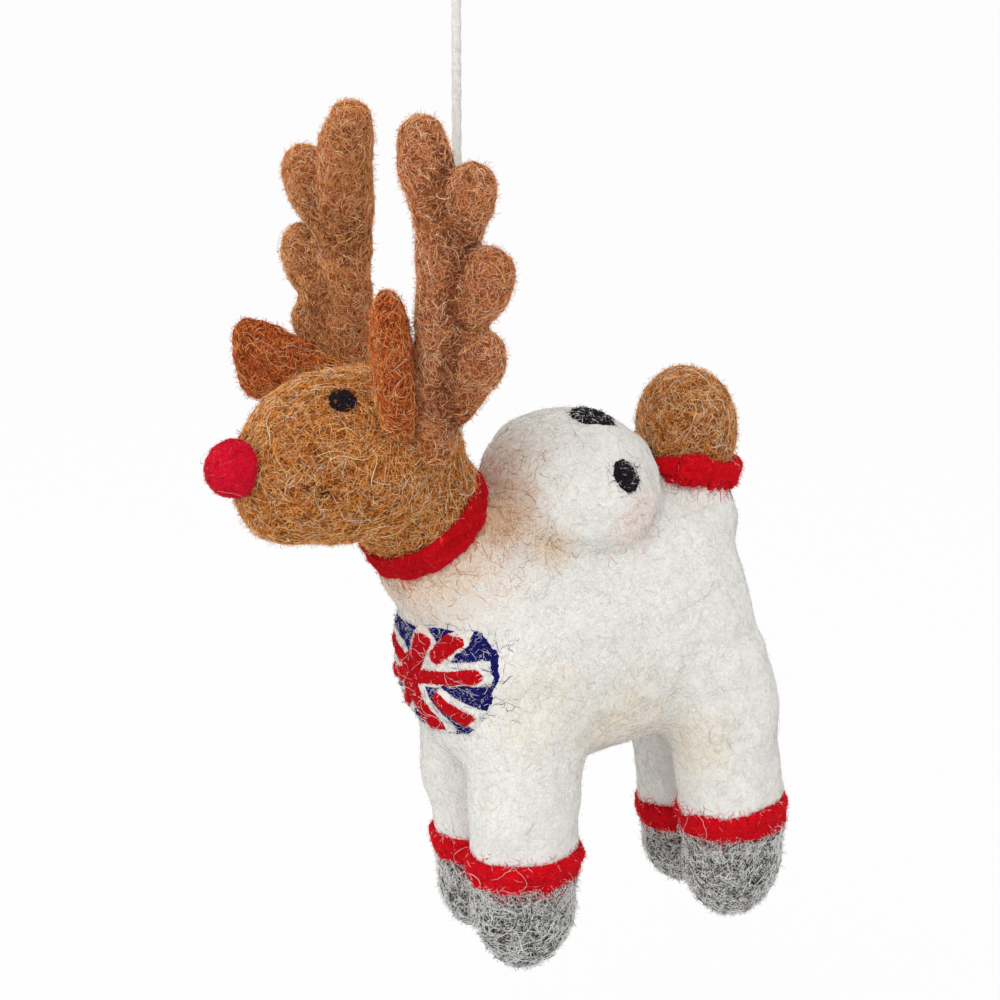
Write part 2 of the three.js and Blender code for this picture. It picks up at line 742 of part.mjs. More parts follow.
const knotMiddle = place(0, cordAhead, knotHeight);
const knotCutter = pebble(knotMiddle, upward, knotHalfWidth + seam, knotHalfHeight + seam);
const loopRise = loopHeight + cordDiameter / 2; // the hook is at the inside of the loop's top
const loopRoute = loopShares.map(([asideShare, riseShare]) =>
  place(asideShare * loopHalfWidth, cordAhead, knotHeight + riseShare * loopRise),
);
addNode("loop_knot", pebble(knotMiddle, upward, knotHalfWidth, knotHalfHeight), cotton);
addNode("hanging_loop", tube(loopRoute, loopStepCount).subtract(knotCutter), cotton);

export default group;
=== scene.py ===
import math

import bpy
import numpy as np
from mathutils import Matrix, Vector, noise
from mathutils.bvhtree import BVHTree


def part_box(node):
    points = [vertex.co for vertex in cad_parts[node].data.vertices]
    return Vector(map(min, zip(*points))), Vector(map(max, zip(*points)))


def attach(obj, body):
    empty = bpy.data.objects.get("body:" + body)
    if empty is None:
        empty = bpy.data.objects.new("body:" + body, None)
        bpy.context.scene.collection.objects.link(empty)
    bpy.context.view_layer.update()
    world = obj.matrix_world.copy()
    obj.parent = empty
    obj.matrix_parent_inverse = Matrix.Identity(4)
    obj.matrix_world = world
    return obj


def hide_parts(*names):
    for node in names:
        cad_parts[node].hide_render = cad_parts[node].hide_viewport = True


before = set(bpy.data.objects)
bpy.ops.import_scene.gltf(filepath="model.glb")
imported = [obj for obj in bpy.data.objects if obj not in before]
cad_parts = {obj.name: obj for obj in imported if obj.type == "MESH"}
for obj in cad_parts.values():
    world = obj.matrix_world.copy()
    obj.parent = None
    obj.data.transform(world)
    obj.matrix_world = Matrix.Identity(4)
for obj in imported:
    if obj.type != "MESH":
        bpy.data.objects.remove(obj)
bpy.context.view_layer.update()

# A needle-felted wool reindeer on a cotton cord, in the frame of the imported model: the animal faces -Y, its
# left side faces +X, and the origin is the top of its loop. Lengths are in metres where nothing else is said.
MM = 0.001

# Names of the CAD nodes, and of the flag's pieces here
LEGS = ["front_left", "front_right", "rear_left", "rear_right"]
SIDES = ["left", "right"]
LEG_NODES = [f"{leg}_leg" for leg in LEGS]
ANKLES = [f"{leg}_ankle_band" for leg in LEGS]
BANDS = ["neck_band", "tail_band"] + ANKLES
ANTLERS = {
    side: ([f"{side}_antler_beam"], [f"{side}_antler_{tine}_tine" for tine in ["upper", "middle", "lower"]])
    for side in SIDES
}
BUTTON_RADII = {"pack_button_top": 3.3, "pack_button_left": 2.35, "pack_button_right": 2.35}
RED_DIAGONALS = [f"flag_red_diagonal_{row}_{side}" for row in ["top", "bottom"] for side in SIDES]
FLAG_NODES = ["flag_ground", "flag_white_stripes", "flag_red_cross"] + RED_DIAGONALS
FLAG_PIECES = ["flag_blue", "flag_white", "flag_red"]

# Camera: the photograph's view, from ahead of the animal's left side and a little above it
CAMERA_PLACE = (0.38709, -0.21673, 0.04400)
CAMERA_TARGET = (-0.02473, 0.02103, -0.11051)
CAMERA_LENS = 120
CAMERA_CLIP = (0.01, 20)

# Stage: the world's light, a large soft lamp, and a white floor below the hanging animal
WORLD_LIGHT = 0.85
KEY_PLACE = (0.35, -0.45, 0.45)
KEY_TARGET = (0, 0, -0.1)
KEY_POWER = 3.0
KEY_SIZE = 0.6
FLOOR_HEIGHT = -0.23
FLOOR_HALF = 3
FLOOR_TONE = 0.88
FLOOR_WHITE = 0.9

# Cord: straight up from the stitch in the nape into the knot, and the loop above the knot
CORD_DIAMETER = 1.35 * MM
KNOT_HEIGHT = -22 * MM
CORD_TOP_BELOW_KNOT = 0.6 * MM
CORD_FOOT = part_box("hanging_cord")[0].z
CORD_TOP = KNOT_HEIGHT - CORD_TOP_BELOW_KNOT
CORD_SHARES = [0, 0.04, 0.1, 0.17, 0.24, 0.31, 0.38, 0.45, 0.52, 0.59, 0.66, 0.73, 0.8, 0.87, 0.94, 1]
CORD_ROUTE = [(0, 0, CORD_FOOT + share * (CORD_TOP - CORD_FOOT)) for share in CORD_SHARES]
LOOP_HALF_WIDTH = 5.2 * MM
LOOP_TALL = 22.675 * MM
LOOP_SHARES = [
    (0.12, 0), (0.62, 0.3), (1, 0.68), (0.6, 0.94), (0, 1), (-0.6, 0.94), (-1, 0.68), (-0.62, 0.3),
    (-0.12, 0),
]

# Knot and stitch: the knot's ends close in as fast as the first number says, down to the second's share
KNOT_TURNS = 3
KNOT_RADIUS = 1.2 * MM
KNOT_TALL_MM = 3.9
KNOT_STEPS = 36
KNOT_ENDS = (8, 0.2)
STITCH_RADIUS = 0.5 * MM
STITCH_ROUTE = [
    (0.9, -1.9, -93.7), (0.75, -0.4, -92.5), (0, 0.1, -91.7), (-0.75, -0.4, -92.5), (-0.9, -1.9, -93.7),
]

# Twist: how far a strand runs in half a turn, and how deep the groove between the strands is
STRAND_PITCH = 3.1 * MM
STRAND_DEPTH = 0.13
CORD_SIDES = 14
CORD_STEP = 0.2 * MM
CORD_END_SHARE = 0.15
CORD_ASIDE = (0.31, 0.95, 0.1)
SPLINE_STEPS = 24

# Flag on the chest, seen from the front: across to the animal's left and up, in millimetres from its middle
FLAG_MIDDLE = (1, -6.5, -123.8)
FLAG_FACING = (0, -1, 0)
FLAG_ACROSS = (1, 0, 0)
FLAG_REACH = (12.6, 9.9)
FLAG_OUTLINE = [
    (-10.8, 5.4), (0, 6.9), (9.4, 8.1), (11.1, 4.9), (11.9, 1.7), (11.2, -1.8), (8.9, -6.9), (5.9, -8.5),
    (1.9, -9.2), (-8.5, -8.8), (-11.2, -5), (-11.6, 1),
]
FLAG_WOBBLE = 0.25
RED_FROM_OUTLINE = 0.45
WHITE_FROM_OUTLINE = 0.08
RED_STROKES = [
    ([(2.1, 5.1), (0.4, 2.0), (-1.1, -1.4), (-0.2, -4.6), (2.4, -7.7)], 1.7),
    ([(-1.7, 0.4), (-1.7, -3.0)], 1.8),
    ([(-11, -3.0), (-1.0, -1.2), (4.5, 0.3), (9.8, 1.5)], 1.25),
    ([(4.8, 3.5), (7.2, 6.3)], 1.45),
    ([(5.0, -2.9), (8.0, -5.1)], 1.3),
    ([(-3.6, 0.8), (-7.6, 2.0)], 1.2),
    ([(-2.8, -4.4), (-7.0, -7.4)], 1.2),
]
WHITE_STROKES = [
    ([(2.2, 4.4), (0.6, 1.6), (-0.7, -1.4), (0.4, -4.8), (2.9, -8.2)], 2.7),
    ([(-12, -2.9), (-1, -0.9), (4.6, 0.7)], 2.1),
    ([(4.6, 0.6), (12.6, 2.7)], 1.9),
    ([(5.0, 3.2), (7.4, 6.4), (8.0, 9.0)], 1.6),
    ([(5.6, -2.6), (8.6, -4.7), (11.5, -6.6)], 1.75),
    ([(-3.6, 0.8), (-7.6, 2.2), (-12, 3.8)], 2.1),
    ([(-2.8, -4.4), (-7.0, -7.4), (-12, -10.4)], 2.1),
]

# Patches, in millimetres: their grid, its rays to their form, their rounded shoulder, how deep their edge
# sinks, where they end, how thick they are, and how far inside them fibres grow
PATCH_STEP = 0.25
PATCH_MARGIN = 1
RAY_START = 12
RAY_LENGTH = 30
SHOULDER = 0.8
EDGE_SINK = 0.5
PATCH_END = -0.45
PATCH_THICKNESS = 0.8
COATED_DEPTH = 0.1
RAGGED = [(1, 1.6), (0.6, 0.6)]
SPOT_STEP = 0.15
EYE_RADIUS, EYE_LIFT, EYE_WOBBLE = 2.0, 0.4, 0.12
BUTTON_LIFT, BUTTON_WOBBLE = 0.25, 0.3

# Wool: the tones of each colour's fibres, from 0 to 255, each with its share
WOOLS = {
    "fawn": [
        ((124, 60, 18), 0.17), ((200, 110, 42), 0.21), ((238, 152, 66), 0.28), ((254, 190, 106), 0.2),
        ((255, 222, 164), 0.12), ((255, 240, 216), 0.02),
    ],
    "chestnut": [
        ((120, 42, 14), 0.16), ((184, 80, 32), 0.27), ((226, 114, 52), 0.3), ((246, 154, 82), 0.17),
        ((252, 198, 134), 0.1),
    ],
    "antler": [
        ((128, 64, 38), 0.13), ((194, 114, 70), 0.24), ((234, 154, 102), 0.3), ((250, 188, 136), 0.19),
        ((254, 220, 178), 0.12), ((254, 242, 226), 0.02),
    ],
    # amber is also spread over the whole right antler as painted light
    "amber": [((226, 150, 84), 0.5), ((244, 190, 126), 0.5)],
    "rust": [((176, 112, 80), 0.5), ((204, 150, 116), 0.5)],
    # painted shade: dark fibres along the crease between each antler's beam and its tines
    "painted_crease_shade": [((104, 52, 28), 0.5), ((144, 80, 46), 0.5)],
    "gold": [((240, 188, 122), 0.4), ((252, 222, 172), 0.4), ((254, 242, 222), 0.2)],
    "suit": [
        ((245, 245, 242), 0.45), ((239, 238, 234), 0.37), ((231, 228, 222), 0.15), ((220, 212, 199), 0.03),
    ],
    "red": [((182, 2, 14), 0.24), ((206, 5, 21), 0.42), ((222, 12, 32), 0.31), ((240, 70, 80), 0.03)],
    # painted light: a lighter copy of the red wool, for the tail and ankle bands
    "painted_lit_red": [((202, 2, 18), 0.26), ((228, 5, 28), 0.42), ((240, 18, 44), 0.3), ((246, 84, 94), 0.02)],
    "nose": [((188, 6, 34), 0.22), ((216, 14, 46), 0.44), ((232, 30, 60), 0.28), ((244, 100, 116), 0.06)],
    "grey": [
        ((20, 18, 18), 0.24), ((80, 77, 75), 0.06), ((186, 183, 180), 0.11), ((242, 240, 237), 0.3),
        ((255, 255, 254), 0.29),
    ],
    "black": [((20, 17, 21), 0.55), ((40, 35, 42), 0.33), ((78, 70, 78), 0.12)],
    "blue": [((16, 16, 84), 0.42), ((28, 26, 118), 0.45), ((64, 58, 160), 0.13)],
    "tan": [
        ((170, 116, 84), 0.16), ((202, 154, 118), 0.32), ((226, 190, 154), 0.32), ((242, 224, 202), 0.2),
    ],
    "cream": [((226, 206, 172), 0.4), ((236, 220, 194), 0.6)],
    "pink": [((226, 178, 164), 0.5), ((236, 204, 192), 0.5)],
    "shade": [((56, 30, 12), 0.6), ((92, 54, 24), 0.4)],
}
FIBRE_ROUGHNESS, FIBRE_SPECULAR = 0.75, 0.2

# Felt below the fibres: the deep, middle and pale tones of each colour, from 0 to 255. They run darker
# than the fibres' tones: painted shade in the gaps between the fibres.
FELTS = {
    "fawn": [(70, 32, 10), (120, 62, 24), (178, 104, 46)],
    "chestnut": [(68, 24, 9), (114, 46, 19), (168, 82, 34)],
    "antler": [(80, 40, 24), (128, 72, 44), (182, 116, 76)],
    "suit": [(222, 219, 212), (232, 230, 225), (240, 239, 235)],
    "red": [(166, 2, 12), (192, 5, 20), (210, 10, 30)],
    # painted light: a lighter copy of the red felt, for the tail and ankle bands
    "painted_lit_red": [(180, 2, 14), (208, 5, 23), (222, 12, 36)],
    "nose": [(172, 6, 30), (204, 12, 42), (220, 22, 52)],
    "grey": [(26, 24, 24), (60, 58, 57), (136, 133, 131)],
    "black": [(16, 13, 17), (28, 24, 31), (46, 41, 49)],
    "blue": [(12, 12, 66), (22, 20, 96), (36, 32, 128)],
    "cotton": [(204, 200, 194), (224, 221, 216), (238, 236, 232)],
}
FELT_ROUGHNESS, FELT_SPECULAR = 0.95, 0.1

# Grain of the felt: streaks that are stretched three ways, where its tones lie between them, and its height
GRAIN_STRETCHES = [(1, 1, 5), (5, 1, 1), (1, 5, 1)]
GRAIN_ROTATION = (0.5, 0.7, 0.3)
GRAIN_SCALE = 1300
GRAIN_DETAIL = 3
GRAIN_DISTORTION = 1.2
DEEP_AT, MIDDLE_AT, PALE_AT = 0.45, 0.58, 0.75
GRAIN_HEIGHT = 0.12 * MM

# Places where the white suit has picked up other wool: a place and a reach in millimetres, a colour and its
# share there. A tint is full up to one share of its reach and gone at another.
SUIT_TINTS = [
    ((0, -6, -103), 14.5, (212, 178, 144), 0.9),
    ((6, 3, -101), 5.5, (206, 170, 134), 0.85),
    ((2, 5, -96), 6, (226, 204, 190), 0.35),
    ((8, 10, -106), 4, (214, 188, 152), 0.7),
    ((12, 22, -103), 5, (238, 216, 206), 0.5),
    ((13, 19, -133), 8, (232, 222, 202), 0.5),
    ((12, 32, -139), 6, (228, 216, 194), 0.5),
    ((14, 4, -127), 7, (232, 222, 204), 0.45),
]
TINT_FULL, TINT_GONE = 0.4, 1.4

# Felting: how far a round of smoothing goes, the finer lumps within the lumps, the step from one form's lumps
# to the next one's, and how far filled creases keep from the nodes that stay clear, in millimetres
SOFTENING = 0.5
FINE_LUMPS, FINE_LUMPS_SHARE = 2.3, 0.5
LUMPS_STEP = (7.3, 3.1, 5.7)
CLEARANCE = 3
WELD_DISTANCE = 0.001 * MM
NO_LENGTH = 1e-12

# Brushes: a target, a shift outward there and a reach, in millimetres. A target is a place with its mirror
# image, a list of CAD nodes, or the crease between two such lists.
MOUTH = [(10.1, -26.0, -92.1), (9.0, -27.9, -91.8), (7.6, -29.6, -91.6)]
SUIT_BRUSHES = [
    (ANKLES, 0.2, 1.6), (["tail_band"], -0.3, 2), ((11.5, 21, -104.5), 0.9, 4.5), ((12, 28, -102), 0.8, 4),
    ((9.1, 26.8, -97.5), -0.8, 4), ((12.4, 40.7, -119.5), 0.6, 4.5), ((14.8, 41.2, -126.9), 0.8, 5),
    ((14.7, 42.8, -134.5), 1.2, 5), ((3.5, -9.3, -111.5), 1.2, 4), ((11.4, 1.1, -145.3), 1, 3.5),
    ((7, 42, -104.5), 0.6, 4),
]
HEAD_BRUSHES = [
    (MOUTH[0], -0.4, 0.8), ((0, -6.4, -100.4), 0.9, 11), ((3, 0, -92), 1.6, 4.5),
    ((12.6, -14.5, -87.5), 1.1, 3.5), ((1, -30, -98.3), 2.2, 5), ((1, -31.6, -85.2), -1, 4),
    ((3, 1.5, -91), -0.7, 4),
]
TAIL_BRUSHES = [(["tail_band"], -0.25, 2)]
BAND_BRUSHES = {
    "neck_band": [((6.3, 1.2, -98.1), -0.7, 4)],
    "tail_band": [((5.2, 33, -97.2), 1.5, 2.6), ((6.8, 35.9, -98), 1.2, 2.6)],
    **{f"{leg}_ankle_band": [([f"{leg}_leg"], 0.85, 1.3)] for leg in LEGS},
}
EAR_BRUSHES = [((13.6, -16.4, -85.8), -0.7, 3)]
ANTLER_BRUSHES = {
    "left": [
        (ANTLERS["left"], -0.35, 1.4), ((12.1, -13.8, -57.3), -0.8, 5), ((19, -7.8, -80), -1.3, 3.5),
        ((16.5, -6.8, -59.5), 1, 2.5),
    ],
    "right": [
        (ANTLERS["right"], -0.35, 1.4), ((12.4, -7.6, -59), 1.2, 4), ((12.8, -7.7, -66), 1.2, 4),
        ((12.3, -8, -73), 1.1, 4),
    ],
}

# Bands: each one's wool, how far it grows in millimetres, its share of the CAD band's width, and the forms
# that its fibres run on over. The tail and ankle bands take a lighter copy of the neck band's red wool:
# painted light on them.
BAND_FORMS = {
    "neck_band": ("red", 0.2, 1, ["suit", "head"]),
    "tail_band": ("painted_lit_red", 0.55, 1, ["suit", "tail"]),
    **{f"{leg}_ankle_band": ("painted_lit_red", 0, 0.93, ["suit", f"{leg}_hoof"]) for leg in LEGS},
}

# Strays: another wool among a form's fibres, its share at a target, the target, and a reach in millimetres
EVERYWHERE = 50
SUIT_STRAYS = [
    ("tan", 0.75, ["head"], 8), ("rust", 0.12, ["head"], 6), ("tan", 0.8, (6, 3, -101), 4),
    ("tan", 0.25, (2, 5, -96), 6), ("tan", 0.7, (8, 10, -106), 3), ("tan", 0.8, (7.1, 2.6, -101.5), 2),
    ("rust", 0.7, (7.7, 9.6, -105.4), 1.6), ("rust", 0.6, (7, 5, -103.5), 1.6),
    ("rust", 0.35, (11.5, 1.7, -109.1), 1), ("pink", 0.5, (12, 22.5, -102.6), 5),
    ("cream", 0.4, (12.8, 19.1, -132.6), 8), ("cream", 0.4, (11.9, 31.7, -138.6), 7),
    ("cream", 0.3, (14, 4, -127), 8), ("tan", 0.4, ["tail"], 3), ("red", 0.6, BANDS, 1),
    ("blue", 0.3, ["flag_ground"], 1), ("black", 0.3, list(BUTTON_RADII), 0.9),
]
HEAD_STRAYS = [("shade", 0.8, MOUTH[0], 0.8), ("shade", 0.4, MOUTH[1], 0.8)]
TAIL_STRAYS = [("tan", 0.2, ["tail"], EVERYWHERE)]
BAND_STRAYS = [
    ("suit", 0.12, ["torso"] + LEG_NODES, 0.5), ("fawn", 0.3, ["head"], 0.6), ("fawn", 0.15, ["tail"], 0.5),
]
# The umber fibres along the crease between each antler's beam and its tines are painted shade in that crease.
ANTLER_STRAYS = {
    "left": [("painted_crease_shade", 0.6, ANTLERS["left"], 1.6), ("fawn", 0.6, ["head"], 3)],
    "right": [
        ("painted_crease_shade", 0.6, ANTLERS["right"], 1.6), ("fawn", 0.6, ["head"], 3),
        # painted light: amber fibres over the whole right antler lighten it
        ("amber", 0.4, sum(ANTLERS["right"], []), EVERYWHERE),
    ],
}
EAR_STRAYS = [("fawn", 0.8, ["head"], 3.5)]
EYE_STRAYS = [("fawn", 0.03, ["head"], EVERYWHERE)]
BUTTON_STRAYS = [("suit", 0.13, ["back_pack"], EVERYWHERE)]

# Fibres: the most triangles of a piece, and how their thickness spreads
MOST_TRIANGLES = 190000
THICKNESS_SPREAD = 0.35
THICKNESS_LIMITS = (0.5, 2)

# Lying fibres and wisps: shares of their given length, how they curl and wave, and how deep their ends sink
LYING_STEPS = 5
LYING_LENGTHS = (0.45, 1.5)
LYING_CURL = 1.5
LEAST_CURL = 1
LYING_WAVE = 0.09
LYING_SUNK = 0.02 * MM
WISP_STEPS = 8
WISP_LENGTH = 5 * MM
WISP_RISE = 2

# Nap: shares of its given length, how far it leans, bends over and sways, and how deep its roots sink
NAP_STEPS = 4
NAP_LENGTHS = (0.4, 1.6)
NAP_LEANS = (0.5, 1.6)
NAP_BEND = 1.4
NAP_REACH = 0.7
NAP_SWAY = 0.35
NAP_SUNK = 0.1 * MM
NAP_THICKNESS = 0.75

# Hairs: long pale ones that wander over the whole animal, and how they bend on the way. Each row is the form
# where they start, their wool, their slot and their count.
HAIR_SEED = 7
HAIR_STEPS = 14
HAIR_LENGTH = 8 * MM
HAIR_LENGTHS = (0.6, 1.3)
HAIR_RISE = 0.6 * MM
HAIR_RISES = (0.3, 1)
HAIR_CLEAR = 0.05 * MM
HAIR_RADIUS = 0.028 * MM
HAIR_RADII = (0.7, 1.2)
FIRST_BEND, BEND_KEPT, BEND_CHANGE = 0.22, 0.85, 0.13
HAIRS = [
    ("head", "cream", "fawn_wool", 40), ("neck_band", "cream", "red_wool", 10),
    ("tail", "cream", "fawn_wool", 16), ("tail_band", "tan", "red_wool", 5), ("suit", "tan", "suit_wool", 26),
    ("left_ear", "cream", "chestnut_wool", 6), ("right_ear", "cream", "chestnut_wool", 6),
    ("left_antler", "tan", "antler_wool", 12), ("right_antler", "tan", "antler_wool", 12),
    ("flag_red", "suit", "suit_wool", 34), ("nose", "pink", "red_wool", 2),
    *((f"{leg}_hoof", "suit", "grey_wool", 12) for leg in LEGS),
    *((ankle, "suit", "red_wool", 8) for ankle in ANKLES),
]

# Mouth: so many dark fibres at each of its places, and their spread, length, lift and radius in millimetres
MOUTH_SEED = 3
MOUTH_FIBRES = [9, 3, 1]
MOUTH_SPREAD, MOUTH_LENGTH, MOUTH_LIFT, MOUTH_RADIUS = 0.25, 1.1, 0.2, 0.035

felts, fibre_wools, tone_index, surfaces = {}, [], {}, {}


def srgb(colour):
    """A colour written as the eye sees it, from 0 to 255, as the linear values that a shader takes."""
    return tuple(c / 255 / 12.92 if c <= 10 else ((c / 255 + 0.055) / 1.055) ** 2.4 for c in colour)


def linked(name, data):
    """A new object in the scene."""
    made = bpy.data.objects.new(name, data)
    bpy.context.scene.collection.objects.link(made)
    return made


def aim(thing, place, target):
    """Puts a camera or a lamp at a place and turns it to a target."""
    thing.location = place
    thing.rotation_euler = (Vector(target) - Vector(place)).to_track_quat("-Z", "Y").to_euler()


def new_node(tree, kind, inputs=(), **settings):
    """A node with its settings, and with values or other nodes' sockets as its inputs."""
    node = tree.nodes.new(kind)
    for key, value in settings.items():
        setattr(node, key, value)
    for key, value in dict(inputs).items():
        if isinstance(value, bpy.types.NodeSocket):
            tree.links.new(value, node.inputs[key])
        else:
            node.inputs[key].default_value = value
    return node


def math_node(tree, operation, *terms, **settings):
    """The result of a Math node."""
    node = new_node(tree, "ShaderNodeMath", enumerate(terms), operation=operation, **settings)
    return node.outputs["Value"]


def new_material(name, roughness, specular):
    """A material, its node tree and its shader."""
    material = bpy.data.materials.new(name)
    material.use_nodes = True
    shader = material.node_tree.nodes["Principled BSDF"]
    shader.inputs["Roughness"].default_value = roughness
    shader.inputs["Specular IOR Level"].default_value = specular
    return material, material.node_tree, shader


def plain_wool(name, colour):
    """One fibre's wool."""
    material, _, shader = new_material(name, FIBRE_ROUGHNESS, FIBRE_SPECULAR)
    shader.inputs["Base Color"].default_value = (*srgb(colour), 1)
    return material


def grain_of(tree, place):
    """Fine streaks that run every way."""
    streaks = []
    for stretch in GRAIN_STRETCHES:
        mapping = {"Vector": place, "Scale": stretch, "Rotation": GRAIN_ROTATION}
        grain = new_node(tree, "ShaderNodeTexNoise", {
            "Vector": new_node(tree, "ShaderNodeMapping", mapping).outputs["Vector"],
            "Scale": GRAIN_SCALE, "Detail": GRAIN_DETAIL, "Distortion": GRAIN_DISTORTION,
        })
        streaks.append(grain.outputs["Fac"])
    first, second, third = streaks
    return math_node(tree, "MAXIMUM", math_node(tree, "MAXIMUM", first, second), third)


def folded_place(tree, place):
    """The place, or its mirror image where it is on the animal's right side."""
    parts = new_node(tree, "ShaderNodeSeparateXYZ", {"Vector": place}).outputs
    folded = {"X": math_node(tree, "ABSOLUTE", parts["X"]), "Y": parts["Y"], "Z": parts["Z"]}
    return new_node(tree, "ShaderNodeCombineXYZ", folded).outputs["Vector"]


def tinted(tree, colour, place, spot, reach, tint, share):
    """The colour, mixed with a tint around a spot."""
    ends = {0: place, 1: [part * MM for part in spot]}
    level = new_node(tree, "ShaderNodeMapRange", {
        "Value": new_node(tree, "ShaderNodeVectorMath", ends, operation="DISTANCE").outputs["Value"],
        "From Min": TINT_FULL * reach * MM, "From Max": TINT_GONE * reach * MM, "To Min": share, "To Max": 0,
    }, interpolation_type="SMOOTHSTEP")
    mix = {"Factor": level.outputs["Result"], "A": colour, "B": (*srgb(tint), 1)}
    return new_node(tree, "ShaderNodeMix", mix, data_type="RGBA").outputs["Result"]


def felt(name, deep, middle, pale, tints):
    """Matted wool below the loose fibres, in three tones that the grain spreads at random. They run darker
    than the fibres, as painted shade in the gaps between them. Its tints are on both sides of the animal.
    """
    material, tree, shader = new_material(name, FELT_ROUGHNESS, FELT_SPECULAR)
    place = tree.nodes.new("ShaderNodeTexCoord").outputs["Object"]
    grain = grain_of(tree, place)
    ramp = new_node(tree, "ShaderNodeValToRGB", {"Fac": grain})
    stops = ramp.color_ramp.elements
    stops[0].position, stops[1].position = DEEP_AT, PALE_AT
    stops[0].color, stops[1].color = (*srgb(deep), 1), (*srgb(pale), 1)
    stops.new(MIDDLE_AT).color = (*srgb(middle), 1)
    colour = ramp.outputs["Color"]
    if tints:
        folded = folded_place(tree, place)
        for tint in tints:
            colour = tinted(tree, colour, folded, *tint)
    bump = new_node(tree, "ShaderNodeBump", {"Height": grain, "Distance": GRAIN_HEIGHT})
    tree.links.new(colour, shader.inputs["Base Color"])
    tree.links.new(bump.outputs["Normal"], shader.inputs["Normal"])
    return material


def make_wools():
    """The felts' and the fibres' materials, and for each wool its first fibre material and its shares."""
    for wool, tones in FELTS.items():
        felts[wool] = felt(f"{wool}_felt", *tones, SUIT_TINTS if wool == "suit" else ())
    for wool, tones in WOOLS.items():
        tone_index[wool] = (len(fibre_wools), np.cumsum([share for _, share in tones]))
        for number, (colour, _) in enumerate(tones, 1):
            fibre_wools.append(plain_wool(f"{wool}_fibre_{number}", colour))


def tones_for(wool, random, count):
    """The fibre material that each of some fibres draws from its wool."""
    first, shares = tone_index[wool]
    return first + np.searchsorted(shares, random.random(count) * shares[-1])


def seen_ray(tree):
    """1 for a ray that looks at a thing, straight or in a reflection, and 0 for one that lights another."""
    path = tree.nodes.new("ShaderNodeLightPath")
    total = path.outputs["Is Camera Ray"]
    for other in ["Is Glossy Ray", "Is Transmission Ray"]:
        total = math_node(tree, "ADD", total, path.outputs[other], use_clamp=True)
    return total


def make_camera():
    data = bpy.data.cameras.new("camera")
    data.lens = CAMERA_LENS
    data.clip_start, data.clip_end = CAMERA_CLIP
    camera = linked("camera", data)
    aim(camera, CAMERA_PLACE, CAMERA_TARGET)
    bpy.context.scene.camera = camera


def make_world():
    """White all round where it is seen, and plain soft light from everywhere."""
    world = bpy.data.worlds.new("world")
    world.use_nodes = True
    tree = world.node_tree
    background = tree.nodes["Background"]
    background.inputs["Color"].default_value = (1, 1, 1, 1)
    level = {"Value": seen_ray(tree), "To Min": WORLD_LIGHT, "To Max": 1}
    strength = new_node(tree, "ShaderNodeMapRange", level).outputs["Result"]
    tree.links.new(strength, background.inputs["Strength"])
    bpy.context.scene.world = world
    bpy.context.scene.view_settings.view_transform = "Standard"


def make_lamp():
    data = bpy.data.lights.new("key", "AREA")
    data.energy = KEY_POWER
    data.size = KEY_SIZE
    aim(linked("key", data), KEY_PLACE, KEY_TARGET)


def make_floor():
    """A floor that is nearly white where it is seen, and that keeps the animal's shadow."""
    signs = [(-1, -1), (1, -1), (1, 1), (-1, 1)]
    corners = np.array([(x * FLOOR_HALF, y * FLOOR_HALF, FLOOR_HEIGHT) for x, y in signs])
    floor = linked("floor", new_mesh("floor", corners, np.array([(0, 1, 2), (0, 2, 3)])))
    material, tree, shader = new_material("floor_white", 1, 0)
    shader.inputs["Base Color"].default_value = (FLOOR_TONE, FLOOR_TONE, FLOOR_TONE, 1)
    mix = new_node(tree, "ShaderNodeMixShader", {
        "Fac": math_node(tree, "MULTIPLY", seen_ray(tree), FLOOR_WHITE),
        1: shader.outputs["BSDF"], 2: tree.nodes.new("ShaderNodeEmission").outputs["Emission"],
    })
    tree.links.new(mix.outputs["Shader"], tree.nodes["Material Output"].inputs["Surface"])
    floor.data.materials.append(material)


def new_mesh(name, points, triangles, tones=None):
    """A mesh from arrays of points and triangles, with each triangle's tone as its material index."""
    mesh = bpy.data.meshes.new(name)
    mesh.vertices.add(len(points))
    mesh.vertices.foreach_set("co", np.ascontiguousarray(points, np.float32).ravel())
    mesh.loops.add(3 * len(triangles))
    mesh.loops.foreach_set("vertex_index", np.ascontiguousarray(triangles, np.int32).ravel())
    mesh.polygons.add(len(triangles))
    mesh.polygons.foreach_set("loop_start", np.arange(0, 3 * len(triangles), 3, dtype=np.int32))
    mesh.polygons.foreach_set("use_smooth", np.ones(len(triangles), bool))
    if tones is not None:
        mesh.polygons.foreach_set("material_index", tones.astype(np.int32))
    mesh.update(calc_edges=True)
    return mesh


def rows_of(collection, key, width, kind):
    """One value of everything in a mesh's collection, as the rows of an array."""
    values = np.zeros(width * len(collection), kind)
    collection.foreach_get(key, values)
    return values.reshape(-1, width)


def points_of(mesh):
    return rows_of(mesh.vertices, "co", 3, float)


def normals_of(mesh):
    return rows_of(mesh.vertex_normals, "vector", 3, float)


def triangles_of(mesh):
    mesh.calc_loop_triangles()
    return rows_of(mesh.loop_triangles, "vertices", 3, np.int32)


def set_points(mesh, points):
    mesh.vertices.foreach_set("co", points.ravel())
    mesh.update()


def push(mesh, distance):
    """Moves each point outward by a distance, its own or one for all."""
    set_points(mesh, points_of(mesh) + normals_of(mesh) * np.reshape(distance, (-1, 1)))


def joined(meshes):
    """The points and triangles of several meshes as one."""
    points, triangles, count = [], [], 0
    for mesh in meshes:
        points.append(points_of(mesh))
        triangles.append(triangles_of(mesh) + count)
        count += len(points[-1])
    return np.concatenate(points), np.concatenate(triangles)


def tree_of(*meshes):
    points, triangles = joined(meshes)
    return BVHTree.FromPolygons(points.tolist(), triangles.tolist())


def node_meshes(nodes):
    return [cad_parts[node].data for node in nodes]


def unit(vectors):
    return vectors / np.maximum(np.linalg.norm(vectors, axis=-1), NO_LENGTH)[..., None]


